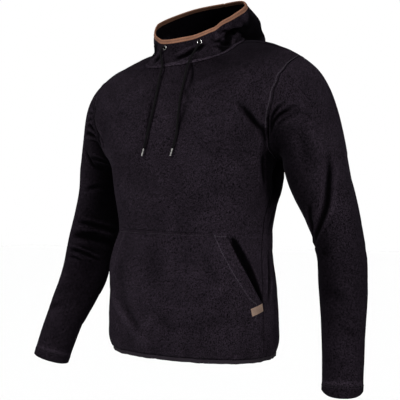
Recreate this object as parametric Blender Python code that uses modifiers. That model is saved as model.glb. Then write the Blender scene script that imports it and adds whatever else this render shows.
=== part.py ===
"""A men's pullover fleece jacket, hollow as it is worn, built from its cut pieces.

The frame is metres, +Z up, the wearer facing -Y and the wearer's left at +X. The origin lies in the
middle of the neck base, level with the shoulders that carry the jacket.

The body is a stack of closed loops, from the hem to the underarm, up the armhole to the shoulder tip,
and along the shoulder seam to the neck. The front and back panels are cut from those loops, a sleeve is
lofted from the armhole through sections down the arm, and the hood is a second stack of loops from the
neck seam, through the pouch that hangs behind the neck, up to the face edge.
"""

import math

import bmesh
import bpy
import numpy as np

# ---- driving dimensions, in metres -------------------------------------------------------------
MM = 0.001
FLEECE = 2.0 * MM  # thickness of the fleece
SEAM_GAP = 0.3 * MM  # between two pieces at a seam
LAID_GAP = 0.6 * MM  # between a panel and what is laid on it
HEM_TAPE = (8.0 * MM, 3.0 * MM)  # the elastic hem binding: height and thickness
FACE_TAPE = (10.0 * MM, 3.6 * MM)  # the folded binding on the hood's edge: height and thickness
NECK_BAND = (7.0 * MM, 1.2 * MM)  # the raised neck seam: width and thickness
CUFF_HEM = (20.0 * MM, 1.0 * MM)  # the turned-up hem: height and what it adds inside the cuff
CORD_DIAMETER = 4.4 * MM
CORD_TIP = (16.0 * MM, 5.2 * MM)  # the metal tip: length and diameter
EYELET = (4.2 * MM, 1.0 * MM)  # ring radius to the middle of its wire, and the wire's radius
LABEL_THICKNESS = 0.8 * MM
# The label lies askew. Each pair is mm in from the pocket's side, and mm down from its opening.
LABEL_CORNER = (5.5, 0.2)  # its upper outer corner
LABEL_RUN = (37.0, 9.0)  # from there along its upper edge
LABEL_DROP = (-5.0, 14.5)  # and down its outer edge

# ---- mesh steps --------------------------------------------------------------------------------
COLUMNS = 20  # across one body panel
ROWS_LOW = 13  # from the hem to the underarm
ROWS_ARMHOLE = 10  # from the underarm to the shoulder tip
ROWS_SHOULDER = 5  # along the shoulder seam
SLEEVE_CAP_ROWS = 7
SLEEVE_ARM_ROWS = 19
HOOD_ROWS = 17

# ---- the body's loops, in mm -------------------------------------------------------------------
# level: 0 hem, 1 underarm, 2 shoulder tip, 3 neck seam. Each loop runs through its centre front, its
# side and its centre back; between those, square pushes it out, and dip lowers its front.
BODY_COLUMNS = "level half_width y_front y_side y_back z_front z_side z_back square_front square_back dip"
BODY_LOOPS = [
    (0.00, 190, -122, -15, 92, -661, -658, -653, 0.05, 0.05, 0),
    (0.05, 196, -127, -14, 97, -643, -640, -637, 0.05, 0.05, 0),
    (0.15, 195, -128, -13, 101, -603, -601, -599, 0.05, 0.05, 0),
    (0.35, 187, -127, -11, 103, -521, -519, -517, 0.05, 0.05, 0),
    (0.62, 176, -121, -8, 103, -410, -408, -406, 0.05, 0.05, 0),
    (0.85, 190, -126, 0, 116, -320, -318, -316, 0.06, 0.06, 0),
    (1.00, 198, -128, 6, 126, -262, -262, -262, 0.08, 0.08, 0),
    (1.15, 220, -128, 9, 129, -236, -232, -234, 0.08, 0.08, 0),
    (1.35, 250, -127, 11, 130, -205, -188, -190, 0.06, 0.06, 0),
    (1.70, 282, -121, 13, 129, -160, -112, -125, 0.03, 0.03, 0),
    (1.90, 270, -115, 13, 125, -137, -70, -95, 0.02, 0.02, 0),
    (2.00, 240, -112, 13, 123, -125, -49, -80, 0.02, 0.02, 0),
    (2.35, 190, -104, 14, 115, -103, -24, -27, 0.02, 0.02, 0),
    (2.70, 136, -95, 15, 103, -79, -7, 8, 0.03, 0.01, 1),
    (3.00, 95, -85, 15, 88, -55, -5, 28, 0.18, 0.00, 10),
]
# The side seam's degrees from the centre front, where the front and back panels meet.
SIDE_SEAM_COLUMNS = "level seam"
SIDE_SEAM = [(0.00, 71.0), (0.15, 71.5), (0.30, 74.5), (0.45, 78.5), (0.60, 82.0), (0.85, 84.0), (1.00, 86.0)]
# The armhole's edges in the front and back panels, in the same degrees. Above it they meet at 90.
ARMHOLE_COLUMNS = "level front back"
ARMHOLE = [
    (1.00, 86.0, 86.0),
    (1.07, 71.0, 99.0),
    (1.20, 61.0, 110.0),
    (1.38, 53.5, 119.0),
    (1.62, 50.5, 125.0),
    (1.80, 53.0, 124.0),
    (1.92, 61.0, 117.0),
    (1.975, 75.0, 104.0),
    (2.00, 90.0, 90.0),
]

# ---- the wearer's left sleeve, in mm -----------------------------------------------------------
# Sections square to the arm: their centre, half widths across and front to back, and the turn of
# the oval about the arm in degrees.
SLEEVE_COLUMNS = "along x y z across deep turn"
SLEEVE_SECTIONS = [
    (0.00, 268, 30, -262, 63, 68, 0),
    (0.10, 278, 34, -305, 60, 65, 0),
    (0.25, 303, 33, -370, 53, 57, 0),
    (0.40, 324, 24, -440, 48, 51, -5),
    (0.58, 335, 8, -520, 49, 44, -18),
    (0.74, 346, -20, -590, 45.5, 39, -28),
    (0.90, 356, -51, -665, 42.5, 35.5, -30),
    (1.00, 361, -66, -706, 41.5, 34.3, -30),
]
CAP_PULL = (0.9, 1.0)  # how far the cap keeps to the panel's and to the arm's direction, of its reach

# ---- the largest folds, soft troughs in the cloth ----------------------------------------------
# Each runs between two places, bowed sideways by bow, and is deepest in its middle. A place is degrees
# round and mm along: on the body from the centre front and up from the origin, on a sleeve from the
# arm's inner side round its front and down from the armhole. bow, width and depth are in mm, and a
# depth below 0 is a ridge.
FOLD_COLUMNS = "round_from along_from round_to along_to bow width depth"
BODY_FOLDS = [
    (33, -138, 57, -226, -9, 15, 8.0),
    (45, -168, 62, -242, 3, 12, 6.0),
    (-35, -146, -57, -222, 8, 15, 7.0),
    (-6, -235, -17, -392, 8, 24, 4.5),
    (18, -190, 34, -372, -10, 26, 4.5),
    (150, -112, 122, -218, 9, 18, 8.0),
    (-147, -122, -123, -212, -9, 17, 7.0),
    (124, -392, 164, -414, 5, 17, 6.0),
    (-158, -404, -118, -386, -5, 16, 5.5),
    (172, -300, -176, -470, 9, 26, 4.5),
    (97, -292, 86, -404, 6, 17, 6.0),
    (-98, -300, -88, -412, -6, 17, 5.0),
]
SLEEVE_FOLDS = {
    "left": [
        (112, 20, 46, 12, 5, 11, 5.0),
        (143, 104, 100, 238, 6, 13, 7.5),
        (110, 214, 36, 302, 8, 12, 9.0),
        (70, 250, 18, 286, 4, 11, 6.0),
        (318, 66, 28, 98, 6, 14, 6.0),
        (196, 262, 288, 282, -6, 14, 5.0),
        (54, 392, 128, 434, 5, 14, 3.5),
        (210, 470, 300, 500, -5, 14, 3.5),
        (180, 8, 184, 132, 0, 42, -4.5),
    ],
    "right": [
        (136, 36, 64, 10, 6, 10, 5.5),
        (120, 60, 48, 24, 6, 11, 6.0),
        (112, 84, 52, 104, -6, 11, 7.0),
        (78, 282, -10, 266, 5, 11, 7.0),
        (110, 337, 14, 338, 5, 11, 7.0),
        (322, 62, 24, 90, 6, 14, 6.0),
        (200, 250, 290, 274, -6, 14, 5.0),
        (60, 420, 130, 446, 5, 14, 3.5),
        (-20, 225, -26, 500, 0, 28, -12.0),
    ],
}
BODY_ROUND = 3.0  # mm along the cloth for each degree round the body
SLEEVE_ROUND = 0.8  # and round a sleeve
ARMHOLE_FADE = 22.0  # mm over which a sleeve's folds start below its seam

# ---- the hood's loops, in mm -------------------------------------------------------------------
# From the neck seam, over the stand, down the layer that lies on the back, round the pouch's foot,
# up its outer layer and to the face edge. lift raises a loop between its side and its centre back.
HOOD_COLUMNS = "along half_width y_front y_side y_back z_front z_side z_back square_front square_back dip lift"
HOOD_LOOPS = [
    (0.00, 95, -85, 15, 88, -55, -5, 28, 0.18, 0.00, 10, 0),
    (0.08, 93.5, -86, 15, 94, -49, 3, 42, 0.16, 0.00, 9, 0),
    (0.18, 89, -87, 16, 110, -43, 11.5, 46, 0.12, 0.00, 7, 0),
    (0.32, 82.5, -88, 19, 132, -37, 18, 8, 0.06, 0.06, 4, 6),
    (0.46, 84, -88, 23, 158, -31, 22, -36, 0.02, 0.12, 1, 8),
    (0.58, 93, -87, 27, 190, -27, 26, -36, -0.02, 0.16, 0, 5),
    (0.74, 106, -86, 30, 206, -23, 33, 24, -0.08, 0.14, 0, 2),
    (0.88, 110, -85, 27, 186, -18, 46, 84, -0.10, 0.05, 0, 0),
    (1.00, 108, -84, 20, 135, -12, 60, 119, -0.09, -0.06, 0, 0),
]
POUCH_ANGLES = (45.0, 92.0)  # degrees from the centre front where the pouch starts and is full
EYELETS = {"left": (30.5, 0.77), "right": (-14.5, 0.81)}  # degrees from the centre front, and along

# ---- the pouch pocket --------------------------------------------------------------------------
POCKET_LEVELS = (0.012, 0.285, 0.635)  # its foot, the low and the high end of its hand openings
POCKET_TOP_ANGLE = 44.5  # half its width along the top, as an angle from the centre front
POCKET_TILT = 0.014  # its top edge hangs this much lower at the wearer's left, in levels
POCKET_BOW = 0.65  # below 1, its hand openings bow in towards the middle
POCKET_MARGIN = 0.6  # degrees that it stops short of the side seam
POCKET_BULGE = 8.0 * MM  # how far its middle stands off the front
POCKET_GAPE = 12.0 * MM  # how far its hand openings stand off
POCKET_STEPS = (16, 14)

# ---- the drawcords -----------------------------------------------------------------------------
# Each cord's way from its eyelet: degrees from the centre front, body level, and the mm that its
# middle stands off the cloth.
CORD_RUNS = {
    "left": [(19.5, 2.84, 7), (13, 2.44, 5), (8, 1.89, 4), (8, 1.56, 4), (8.5, 1.27, 4), (7.5, 1.14, 4)],
    "right": [(-10.5, 2.86, 7), (-8.5, 2.6, 5), (-5, 1.96, 4), (-5.5, 1.6, 4), (-9.5, 1.24, 4), (-11, 1.16, 4)],
}

# ---- colours -----------------------------------------------------------------------------------
FINISHES = {
    "black_fleece": ((0.016, 0.014, 0.018), 0.95, 0.0),
    "black_tape": ((0.030, 0.028, 0.034), 0.8, 0.0),
    "tan_tape": ((0.36, 0.19, 0.11), 0.85, 0.0),
    "black_cord": ((0.028, 0.026, 0.032), 0.7, 0.0),
    "nickel": ((0.75, 0.74, 0.72), 0.25, 1.0),
    "brown_label": ((0.11, 0.075, 0.055), 0.7, 0.0),
}


def clear_scene():
    """Removes every object that the file opened with."""
    for thing in list(bpy.data.objects):
        bpy.data.objects.remove(thing, do_unlink=True)


def finish(name):
    """The material of that name."""
    found = bpy.data.materials.get(name)
    if found:
        return found
    colour, roughness, metallic = FINISHES[name]
    made = bpy.data.materials.new(name)
    made.use_nodes = True
    shader = made.node_tree.nodes["Principled BSDF"]
    shader.inputs["Base Color"].default_value = (*colour, 1.0)
    shader.inputs["Roughness"].default_value = roughness
    shader.inputs["Metallic"].default_value = metallic
    return made


def column_table(names, rows, unscaled):
    """The table's columns by name, in metres, apart from the unscaled ones."""
    values = np.array(rows, float)
    return {
        name: values[:, i] * (1.0 if name in unscaled else MM)
        for i, name in enumerate(names.split())
    }


def through(knots, values, at):
    """A smooth curve through the values at the knots, read at any places between them."""
    knots, values, at = (np.asarray(a, float) for a in (knots, values, at))
    steps = np.diff(knots)
    slopes = np.diff(values) / steps
    tangents = np.empty_like(values)
    tangents[0], tangents[-1] = slopes[0], slopes[-1]
    tangents[1:-1] = (slopes[:-1] * steps[1:] + slopes[1:] * steps[:-1]) / (steps[:-1] + steps[1:])
    i = np.clip(np.searchsorted(knots, at, side="right") - 1, 0, len(steps) - 1)
    h = steps[i]
    x = (at - knots[i]) / h
    low = (1 + 2 * x) * (1 - x) ** 2 * values[i] + x * (1 - x) ** 2 * h * tangents[i]
    high = x * x * (3 - 2 * x) * values[i + 1] + x * x * (x - 1) * h * tangents[i + 1]
    return low + high


def round_loop(front, side, back, angle):
    """A value that passes front at 0 degrees, side at 90 and back at 180, with no kink."""
    middle = (front + back) / 2
    return (
        (middle + side) / 2
        + (front - back) / 2 * np.cos(angle)
        + (middle - side) / 2 * np.cos(2 * angle)
    )


def loop_points(columns, key, at, angle):
    """Points of the loops at the places at along key, at angles from the centre front."""
    at, angle = np.broadcast_arrays(np.asarray(at, float), np.asarray(angle, float))
    row = {name: through(columns[key], values, at) for name, values in columns.items() if name != key}
    corner = np.sin(2 * angle) ** 2
    behind = np.cos(angle) < 0
    swell = 1 + corner * np.where(behind, row["square_back"], row["square_front"])
    y = round_loop(row["y_front"], row["y_side"], row["y_back"], angle)
    z = round_loop(row["z_front"], row["z_side"], row["z_back"], angle)
    z = z - row["dip"] * corner * ~behind
    if "lift" in row:
        z = z + row["lift"] * corner * behind
    x = row["half_width"] * np.sin(angle) * swell
    return np.stack([x, row["y_side"] + (y - row["y_side"]) * swell, z], axis=-1)


def unit(vectors):
    return vectors / np.maximum(np.linalg.norm(vectors, axis=-1, keepdims=True), 1e-12)


BODY = column_table(BODY_COLUMNS, BODY_LOOPS, ("level", "square_front", "square_back"))
SEAM = column_table(SIDE_SEAM_COLUMNS, SIDE_SEAM, ("level", "seam"))
EDGES = column_table(ARMHOLE_COLUMNS, ARMHOLE, ("level", "front", "back"))
HOOD = column_table(HOOD_COLUMNS, HOOD_LOOPS, ("along", "square_front", "square_back"))
SLEEVE = column_table(SLEEVE_COLUMNS, SLEEVE_SECTIONS, ("along", "turn"))


def body_point(level, angle):
    """The outer face of the body."""
    return loop_points(BODY, "level", level, angle)


def hood_point(along, angle):
    """The outer face of the hood: a straight stand in front, which turns into the pouch at the sides."""
    along, angle = np.broadcast_arrays(np.asarray(along, float), np.asarray(angle, float))
    foot, edge = (loop_points(HOOD, "along", np.full_like(angle, end), angle) for end in (0.0, 1.0))
    stand = foot + (edge - foot) * along[..., None]
    start, full = np.radians(POUCH_ANGLES)
    share = np.clip((np.arccos(np.cos(angle)) - start) / (full - start), 0, 1)[..., None]
    share = share * share * (3 - 2 * share)
    return stand + (loop_points(HOOD, "along", along, angle) - stand) * share


def outward(surface, up, angle):
    """Unit normals of a stack of loops, pointing out of the cloth."""
    d = 1e-4
    lift = surface(np.minimum(up + d, surface.top), angle) - surface(np.maximum(up - d, 0), angle)
    turn = surface(up, angle + d) - surface(up, angle - d)
    return unit(np.cross(turn, lift))


body_point.top = 3.0
hood_point.top = 1.0


def sunk(folds, degrees, along, per_degree):
    """How deep the cloth lies in its folds, in metres, at places in degrees round and mm along."""
    deep = 0.0
    for round_from, along_from, round_to, along_to, bow, width, depth in folds:
        across = ((degrees - round_from + 180) % 360 - 180) * per_degree
        run = np.array([((round_to - round_from + 180) % 360 - 180) * per_degree, along_to - along_from])
        length = np.hypot(*run)
        share = (across * run[0] + (along - along_from) * run[1]) / length**2
        beside = ((along - along_from) * run[0] - across * run[1]) / length - 4 * bow * share * (1 - share)
        fade = np.sin(math.pi * np.clip(share, 0, 1)) ** 0.7
        deep = deep + depth * MM * fade * np.exp(-((beside / width) ** 2))
    return deep


def panel_edge(level, side):
    """The angle of the front (0) or back (1) panel's edge from the centre front, in radians."""
    low = through(SEAM["level"], SEAM["seam"], np.minimum(level, 1))
    armhole = through(EDGES["level"], EDGES[("front", "back")[side]], np.clip(level, 1, 2))
    return np.radians(np.where(np.asarray(level) <= 1, low, armhole))


def armhole_levels():
    """The levels of the armhole's points, closer together towards the underarm and the shoulder."""
    even = np.linspace(0, 1, ROWS_ARMHOLE + 1)
    return 1 + 0.5 * even + 0.25 * (1 - np.cos(math.pi * even))


def panel_levels():
    """The body level of each row of a panel."""
    low = np.linspace(0, 1, ROWS_LOW + 1)[:-1]
    high = np.linspace(2, 3, ROWS_SHOULDER + 1)
    return np.concatenate([low, armhole_levels()[:-1], high])


def column_angles(level, side):
    """The angles of a panel's columns on one row: the front goes round 0, the back round 180."""
    across = np.linspace(-1, 1, COLUMNS + 1)
    gap = SEAM_GAP / 2 / 0.11
    if side == 0:
        return across * (panel_edge(level, 0) - gap)
    return math.pi - across * (math.pi - panel_edge(level, 1) - gap)


def add_object(name, points, faces, material, smooth=True):
    """One named mesh object from its points and faces."""
    mesh = bpy.data.meshes.new(name)
    mesh.from_pydata([tuple(p) for p in points], [], faces)
    mesh.materials.append(finish(material))
    made = bpy.data.objects.new(name, mesh)
    GARMENT.objects.link(made)
    if smooth:
        mesh.shade_smooth()
        mesh.set_sharp_from_angle(angle=math.radians(50))
    return made


def grid_faces(rows, columns, closed, start=0, flip=False):
    """Quads of a grid of points, row by row; closed joins its last column to its first."""
    faces = []
    for r in range(rows - 1):
        for c in range(columns if closed else columns - 1):
            n = (c + 1) % columns
            quad = [r * columns + c, r * columns + n, (r + 1) * columns + n, (r + 1) * columns + c]
            faces.append([start + i for i in (quad[::-1] if flip else quad)])
    return faces


def cloth_wall(name, outer, inner, material, closed=False):
    """A closed wall lofted between an outer and an inner grid of points of the same piece."""
    rows, columns = outer.shape[:2]
    count = rows * columns
    faces = grid_faces(rows, columns, closed) + grid_faces(rows, columns, closed, count, True)

    def rim(cells, reverse):
        for a, b in zip(cells[:-1], cells[1:]):
            quad = [a, b, b + count, a + count]
            faces.append(quad if reverse else quad[::-1])

    first = list(range(columns))
    last = [(rows - 1) * columns + c for c in range(columns)]
    if closed:
        first.append(first[0])
        last.append(last[0])
    rim(first, False)
    rim(last, True)
    if not closed:
        rim([r * columns for r in range(rows)], True)
        rim([r * columns + columns - 1 for r in range(rows)], False)
    points = np.concatenate([outer.reshape(-1, 3), inner.reshape(-1, 3)])
    made = add_object(name, points, faces, material)
    shape = bmesh.new()
    shape.from_mesh(made.data)
    if shape.calc_volume(signed=True) < 0:
        bmesh.ops.reverse_faces(shape, faces=shape.faces[:])
    bmesh.ops.triangulate(shape, faces=shape.faces[:], quad_method="SHORT_EDGE")
    shape.to_mesh(made.data)
    shape.free()
    return made


def body_panel(name, side):
    """The front (0) or back (1) panel, up to the shoulder seams and the neckline."""
    levels = panel_levels()
    angles = np.array([column_angles(level, side) for level in levels])
    up = np.repeat(levels[:, None], COLUMNS + 1, axis=1)
    outer, normals = body_point(up, angles), outward(body_point, up, angles)
    deep = sunk(BODY_FOLDS, np.degrees(angles), outer[..., 2] / MM, BODY_ROUND)
    outer = outer - normals * deep[..., None]
    return cloth_wall(name, outer, outer - normals * FLEECE, "black_fleece")


def armhole_ring():
    """The wearer's left armhole as one ring from the underarm, up the front, over the shoulder tip
    and down the back, with the body's normals and the ways out of the panels along it."""
    level = armhole_levels()
    front, back = panel_edge(level, 0), panel_edge(level, 1)
    levels = np.concatenate([level, level[-2:0:-1]])
    angles = np.concatenate([front, back[-2:0:-1]])
    ring, normals = body_point(levels, angles), outward(body_point, levels, angles)
    along = np.roll(ring, -1, axis=0) - np.roll(ring, 1, axis=0)
    return ring, normals, unit(np.cross(along, normals))


def arm_frames(along):
    """The arm's centre line with its outward, forward and downward directions."""
    centre = np.stack([through(SLEEVE["along"], SLEEVE[k], along) for k in "xyz"], axis=-1)
    d = 1e-3
    ahead, behind = np.clip(along + d, 0, 1), np.clip(along - d, 0, 1)
    down = unit(
        np.stack(
            [
                through(SLEEVE["along"], SLEEVE[k], ahead) - through(SLEEVE["along"], SLEEVE[k], behind)
                for k in "xyz"
            ],
            axis=-1,
        )
    )
    forward = unit(np.cross(down, np.broadcast_to([1.0, 0.0, 0.0], down.shape)))
    out = np.cross(forward, down)
    return centre, out, forward, down


def arm_ring(along, count):
    """One section of the sleeve with count points, from its inner side round its front."""
    centre, out, forward, down = arm_frames(np.array([along]))
    across, deep, turn = (through(SLEEVE["along"], SLEEVE[k], along) for k in ("across", "deep", "turn"))
    turn = math.radians(float(turn))
    wide = out[0] * math.cos(turn) - forward[0] * math.sin(turn)
    fore = forward[0] * math.cos(turn) + out[0] * math.sin(turn)
    around = np.linspace(0, 2 * math.pi, count, endpoint=False)[:, None] - turn
    return centre[0] - across * np.cos(around) * wide + deep * np.sin(around) * fore, down[0]


def sleeve_points():
    """The outer face of the wearer's left sleeve: rings from the armhole to the cuff."""
    start, _, leave = armhole_ring()
    count = len(start)
    start = start + leave * SEAM_GAP
    end, down = arm_ring(0.0, count)
    reach = np.linalg.norm(end - start, axis=1, keepdims=True)
    rings = []
    for w in np.linspace(0, 1, SLEEVE_CAP_ROWS + 1)[:-1]:
        rings.append(
            (2 * w**3 - 3 * w**2 + 1) * start
            + (w**3 - 2 * w**2 + w) * leave * reach * CAP_PULL[0]
            + (3 * w**2 - 2 * w**3) * end
            + (w**3 - w**2) * down * reach * CAP_PULL[1]
        )
    for along in np.linspace(0, 1, SLEEVE_ARM_ROWS + 1):
        rings.append(arm_ring(along, count)[0])
    return np.array(rings)


def grid_normals(points, closed):
    """Unit normals of a grid of points, by its neighbours; they face right of going up the rows."""
    up = np.gradient(points, axis=0)
    if closed:
        across = np.roll(points, -1, axis=1) - np.roll(points, 1, axis=1)
    else:
        across = np.gradient(points, axis=1)
    return unit(np.cross(across, up))


def mirrored(points):
    return points * np.array([-1.0, 1.0, 1.0])


def sleeves():
    """Both sleeves: a tube of fleece, doubled inside at the turned-up hem of the cuff."""
    outer = sleeve_points()
    normals = grid_normals(outer, True)
    middle = outer.mean(axis=1, keepdims=True)
    if ((outer - middle) * normals).sum() < 0:
        normals = -normals
    normals[0] = armhole_ring()[1]
    steps = np.linalg.norm(np.diff(outer, axis=0), axis=-1).mean(axis=1)
    down = np.concatenate([[0], np.cumsum(steps)])
    thick = FLEECE + CUFF_HEM[1] * (down > down[-1] - CUFF_HEM[0])
    degrees = np.linspace(0, 360, outer.shape[1], endpoint=False)
    for side, turned in (("left", lambda points: points), ("right", mirrored)):
        deep = sunk(SLEEVE_FOLDS[side], degrees[None, :], down[:, None] / MM, SLEEVE_ROUND)
        deep *= np.clip(down[:, None] / MM / ARMHOLE_FADE, 0, 1)
        cloth = outer - normals * deep[..., None]
        inside = cloth - normals * thick[:, None, None]
        cloth_wall(f"sleeve_{side}", turned(cloth), turned(inside), "black_fleece", closed=True)


def neck_angles():
    """Angles of the hood's columns, which meet the columns of both panels at the neck seam."""
    front, back = column_angles(3.0, 0), column_angles(3.0, 1)
    seam = math.pi / 2
    front = np.concatenate([[-seam], front[1:-1], [seam]])
    half = (COLUMNS // 2) + 1
    gap = SEAM_GAP / 2 / 0.085
    left_back = np.sort(back)[: half]
    left_back = np.concatenate([left_back[1:-1], [math.pi - gap]])
    return np.concatenate([-left_back[::-1], front, left_back])


def hood():
    """The hood, one piece of fleece with its seam down the centre back."""
    angles = neck_angles()
    along = np.linspace(0, 1, HOOD_ROWS + 1)
    up, around = np.meshgrid(along, angles, indexing="ij")
    outer = hood_point(up, around)
    normals = outward(hood_point, up, around)
    outer = outer + np.array([0, 0, SEAM_GAP]) * (1 - up[..., None])
    return cloth_wall("hood", outer, outer - normals * FLEECE, "black_fleece")


def face_binding():
    """The folded tape on the hood's face edge, a closed ring a little thicker than the fleece."""
    angles = np.linspace(-math.pi, math.pi, 2 * COLUMNS, endpoint=False)
    edge = hood_point(np.ones_like(angles), angles)
    below = hood_point(np.full_like(angles, 0.97), angles)
    normals = outward(hood_point, np.ones_like(angles), angles)
    rise = unit(edge - below)
    height, thick = FACE_TAPE
    proud = (thick - FLEECE) / 2
    rings_out, rings_in = [], []
    for step, share in ((0.0, 0.8), (0.5, 1.0), (1.0, 0.6)):
        place = edge + rise * (SEAM_GAP + height * step)
        rings_out.append(place + normals * proud * share)
        rings_in.append(place - normals * (FLEECE + proud * share))
    return cloth_wall("hood_binding", np.array(rings_out), np.array(rings_in), "tan_tape", closed=True)


def hem_angles():
    """Angles once round the hem, at the columns of both panels."""
    front, back = column_angles(0.0, 0), column_angles(0.0, 1)
    return np.concatenate([front, np.sort(back)])


def hem_binding():
    """The elastic tape round the hem, which draws the body in."""
    angles = hem_angles()
    level = np.zeros_like(angles)
    edge = body_point(level, angles)
    normals = outward(body_point, level, angles)
    height, thick = HEM_TAPE
    proud = (thick - FLEECE) / 2
    down = np.array([0.0, 0.0, -1.0])
    rings_out, rings_in = [], []
    for step, share in ((1.0, 0.5), (0.5, 1.0), (0.0, 0.5)):
        place = edge + down * (SEAM_GAP + height * step) - normals * height * step * 0.12
        rings_out.append(place + normals * proud * share)
        rings_in.append(place - normals * (FLEECE + proud * share))
    return cloth_wall("hem_binding", np.array(rings_out), np.array(rings_in), "black_tape", closed=True)


def neck_band():
    """The neck seam's allowance, turned down on to the body and stitched, a raised band all round."""
    angles = np.concatenate([column_angles(3.0, 0), np.sort(column_angles(3.0, 1))])
    last_level = np.full_like(angles, 3.0)
    row_before = np.full_like(angles, 3.0 - 1 / ROWS_SHOULDER)
    top, below = body_point(last_level, angles), body_point(row_before, angles)
    normals = unit(outward(body_point, last_level, angles) + outward(body_point, row_before, angles))
    width, thick = NECK_BAND
    drop = unit(below - top)
    rings_out, rings_in = [], []
    for step, share in ((1.0, 0.6), (0.5, 1.0), (0.12, 0.6)):
        place = top + drop * width * step
        rings_in.append(place + normals * LAID_GAP)
        rings_out.append(place + normals * (LAID_GAP + thick * share))
    return cloth_wall("neck_band", np.array(rings_out), np.array(rings_in), "black_fleece", closed=True)


def pocket_half_angle(level):
    """Half the pocket's width at a level, as an angle from the centre front."""
    foot, low, high = POCKET_LEVELS
    slope = np.clip((level - low) / (high - low), 0, 1)
    low_angle = panel_edge(low, 0) - math.radians(POCKET_MARGIN)
    slanted = low_angle + (math.radians(POCKET_TOP_ANGLE) - low_angle) * slope**POCKET_BOW
    return np.where(level > low, slanted, panel_edge(level, 0) - math.radians(POCKET_MARGIN))


def pocket_stand_off(across, level):
    """How far the pocket's inner face stands off the front panel."""
    foot, low, high = POCKET_LEVELS
    up = np.clip((level - foot) / (high - foot), 0, 1)
    slant = np.clip((level - low) / (high - low), 0, 1)
    middle = POCKET_BULGE * np.sin(math.pi * up) ** 0.8
    lip = POCKET_GAPE * np.sin(math.pi * slant) ** 0.8
    edge = np.abs(across) ** 5
    return LAID_GAP + middle * (1 - edge) + lip * edge


def pocket_point(across, level):
    """The pocket's inner face, made from the front panel's points moved out, and its normals."""
    angle = across * pocket_half_angle(level)
    place = level - POCKET_TILT * across * level / POCKET_LEVELS[2]
    base = body_point(place, angle)
    normal = outward(body_point, place, angle)
    return base + normal * pocket_stand_off(across, level)[..., None], normal


def pocket():
    """The pouch pocket: sewn down along its top, foot and lower sides, open at its slanted sides."""
    foot, low, high = POCKET_LEVELS
    columns, rows = POCKET_STEPS
    rows_low = round(rows * 0.4)
    levels = np.concatenate(
        [np.linspace(foot, low, rows_low + 1)[:-1], np.linspace(low, high, rows - rows_low + 1)]
    )
    level, across = np.meshgrid(levels, np.linspace(-1, 1, columns + 1), indexing="ij")
    inner, normal = pocket_point(across, level)
    return cloth_wall("pocket", inner + normal * FLEECE, inner, "black_fleece")


def label():
    """The woven label, sewn round the pocket's side just under the wearer's left hand opening."""
    foot, low, high = POCKET_LEVELS
    edge = pocket_point(np.ones(2), np.array([foot, low]))[0]
    per_level = np.linalg.norm(edge[1] - edge[0]) / (low - foot)
    row = pocket_point(np.linspace(0, 1, 9), np.full(9, low))[0]
    half_pocket = np.linalg.norm(np.diff(row, axis=0), axis=1).sum()
    across, down = np.meshgrid(np.linspace(0, 1, 5), np.linspace(1, 0, 4))
    step_in, step_down = (
        (LABEL_CORNER[k] + LABEL_RUN[k] * across + LABEL_DROP[k] * down) * MM for k in (0, 1)
    )
    level = low - step_down / per_level
    inner, normal = pocket_point(1 - step_in / half_pocket, level)
    lower = inner + normal * (FLEECE + LAID_GAP)
    return cloth_wall("label", lower + normal * LABEL_THICKNESS, lower, "brown_label")


def eyelet_frame(side):
    """Where a cord leaves the hood's front: the place, and the way out of the cloth."""
    degrees, along = EYELETS[side]
    angle, at = np.array([math.radians(degrees)]), np.array([along])
    return hood_point(at, angle)[0], outward(hood_point, at, angle)[0]


def eyelets():
    """Two metal rings, each clenched on the hood's front round its cord."""
    for side in ("left", "right"):
        place, normal = eyelet_frame(side)
        ring, wire = EYELET
        tilt = np.arctan2(np.hypot(normal[0], normal[1]), normal[2])
        bpy.ops.mesh.primitive_torus_add(
            major_radius=ring,
            minor_radius=wire,
            major_segments=20,
            minor_segments=8,
            location=place + normal * (wire + LAID_GAP),
            rotation=(0.0, tilt, math.atan2(normal[1], normal[0])),
        )
        made = bpy.context.object
        made.name = made.data.name = f"eyelet_{side}"
        made.data.materials.append(finish("nickel"))
        made.data.shade_smooth()
        move_to_garment(made)


def move_to_garment(thing):
    for home in list(thing.users_collection):
        home.objects.unlink(thing)
    GARMENT.objects.link(thing)


def cord_route(side):
    """A cord's middle line: straight out of its eyelet, over the collar and down the chest."""
    place, normal = eyelet_frame(side)
    start = place + normal * 2 * LAID_GAP
    drop = np.array([0.0, 0.0, -CORD_DIAMETER])
    points = [start, start + normal * CORD_DIAMETER, start + normal * CORD_DIAMETER * 1.8 + drop]
    for degrees, level, off in CORD_RUNS[side]:
        angle, at = np.array([math.radians(degrees)]), np.array([level])
        out = outward(body_point, at, angle)[0]
        points.append(body_point(at, angle)[0] + out * (off * MM + CORD_DIAMETER / 2))
    return np.array(points)


def even_line(points, count):
    """The smooth curve through the points, read at even steps."""
    along = np.concatenate([[0], np.cumsum(np.linalg.norm(np.diff(points, axis=0), axis=1))])
    fine = np.linspace(0, along[-1], 400)
    line = np.stack([through(along, points[:, k], fine) for k in range(3)], axis=-1)
    run = np.concatenate([[0], np.cumsum(np.linalg.norm(np.diff(line, axis=0), axis=1))])
    at = np.linspace(0, run[-1], count)
    return np.stack([np.interp(at, run, line[:, k]) for k in range(3)], axis=-1), run[-1]


def drawcords():
    """Two free cords, each with a metal tip."""
    for side in ("left", "right"):
        line, length = even_line(cord_route(side), 26)
        curve = bpy.data.curves.new(f"cord_{side}", "CURVE")
        curve.dimensions = "3D"
        spline = curve.splines.new("POLY")
        spline.points.add(len(line) - 1)
        for point, place in zip(spline.points, line):
            point.co = (*place, 1.0)
        curve.bevel_depth = CORD_DIAMETER / 2
        curve.bevel_resolution = 2
        curve.use_fill_caps = True
        curve.materials.append(finish("black_cord"))
        made = bpy.data.objects.new(f"cord_{side}", curve)
        GARMENT.objects.link(made)
        cord_tip(side, line[-1], unit(line[-1] - line[-3]))


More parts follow.
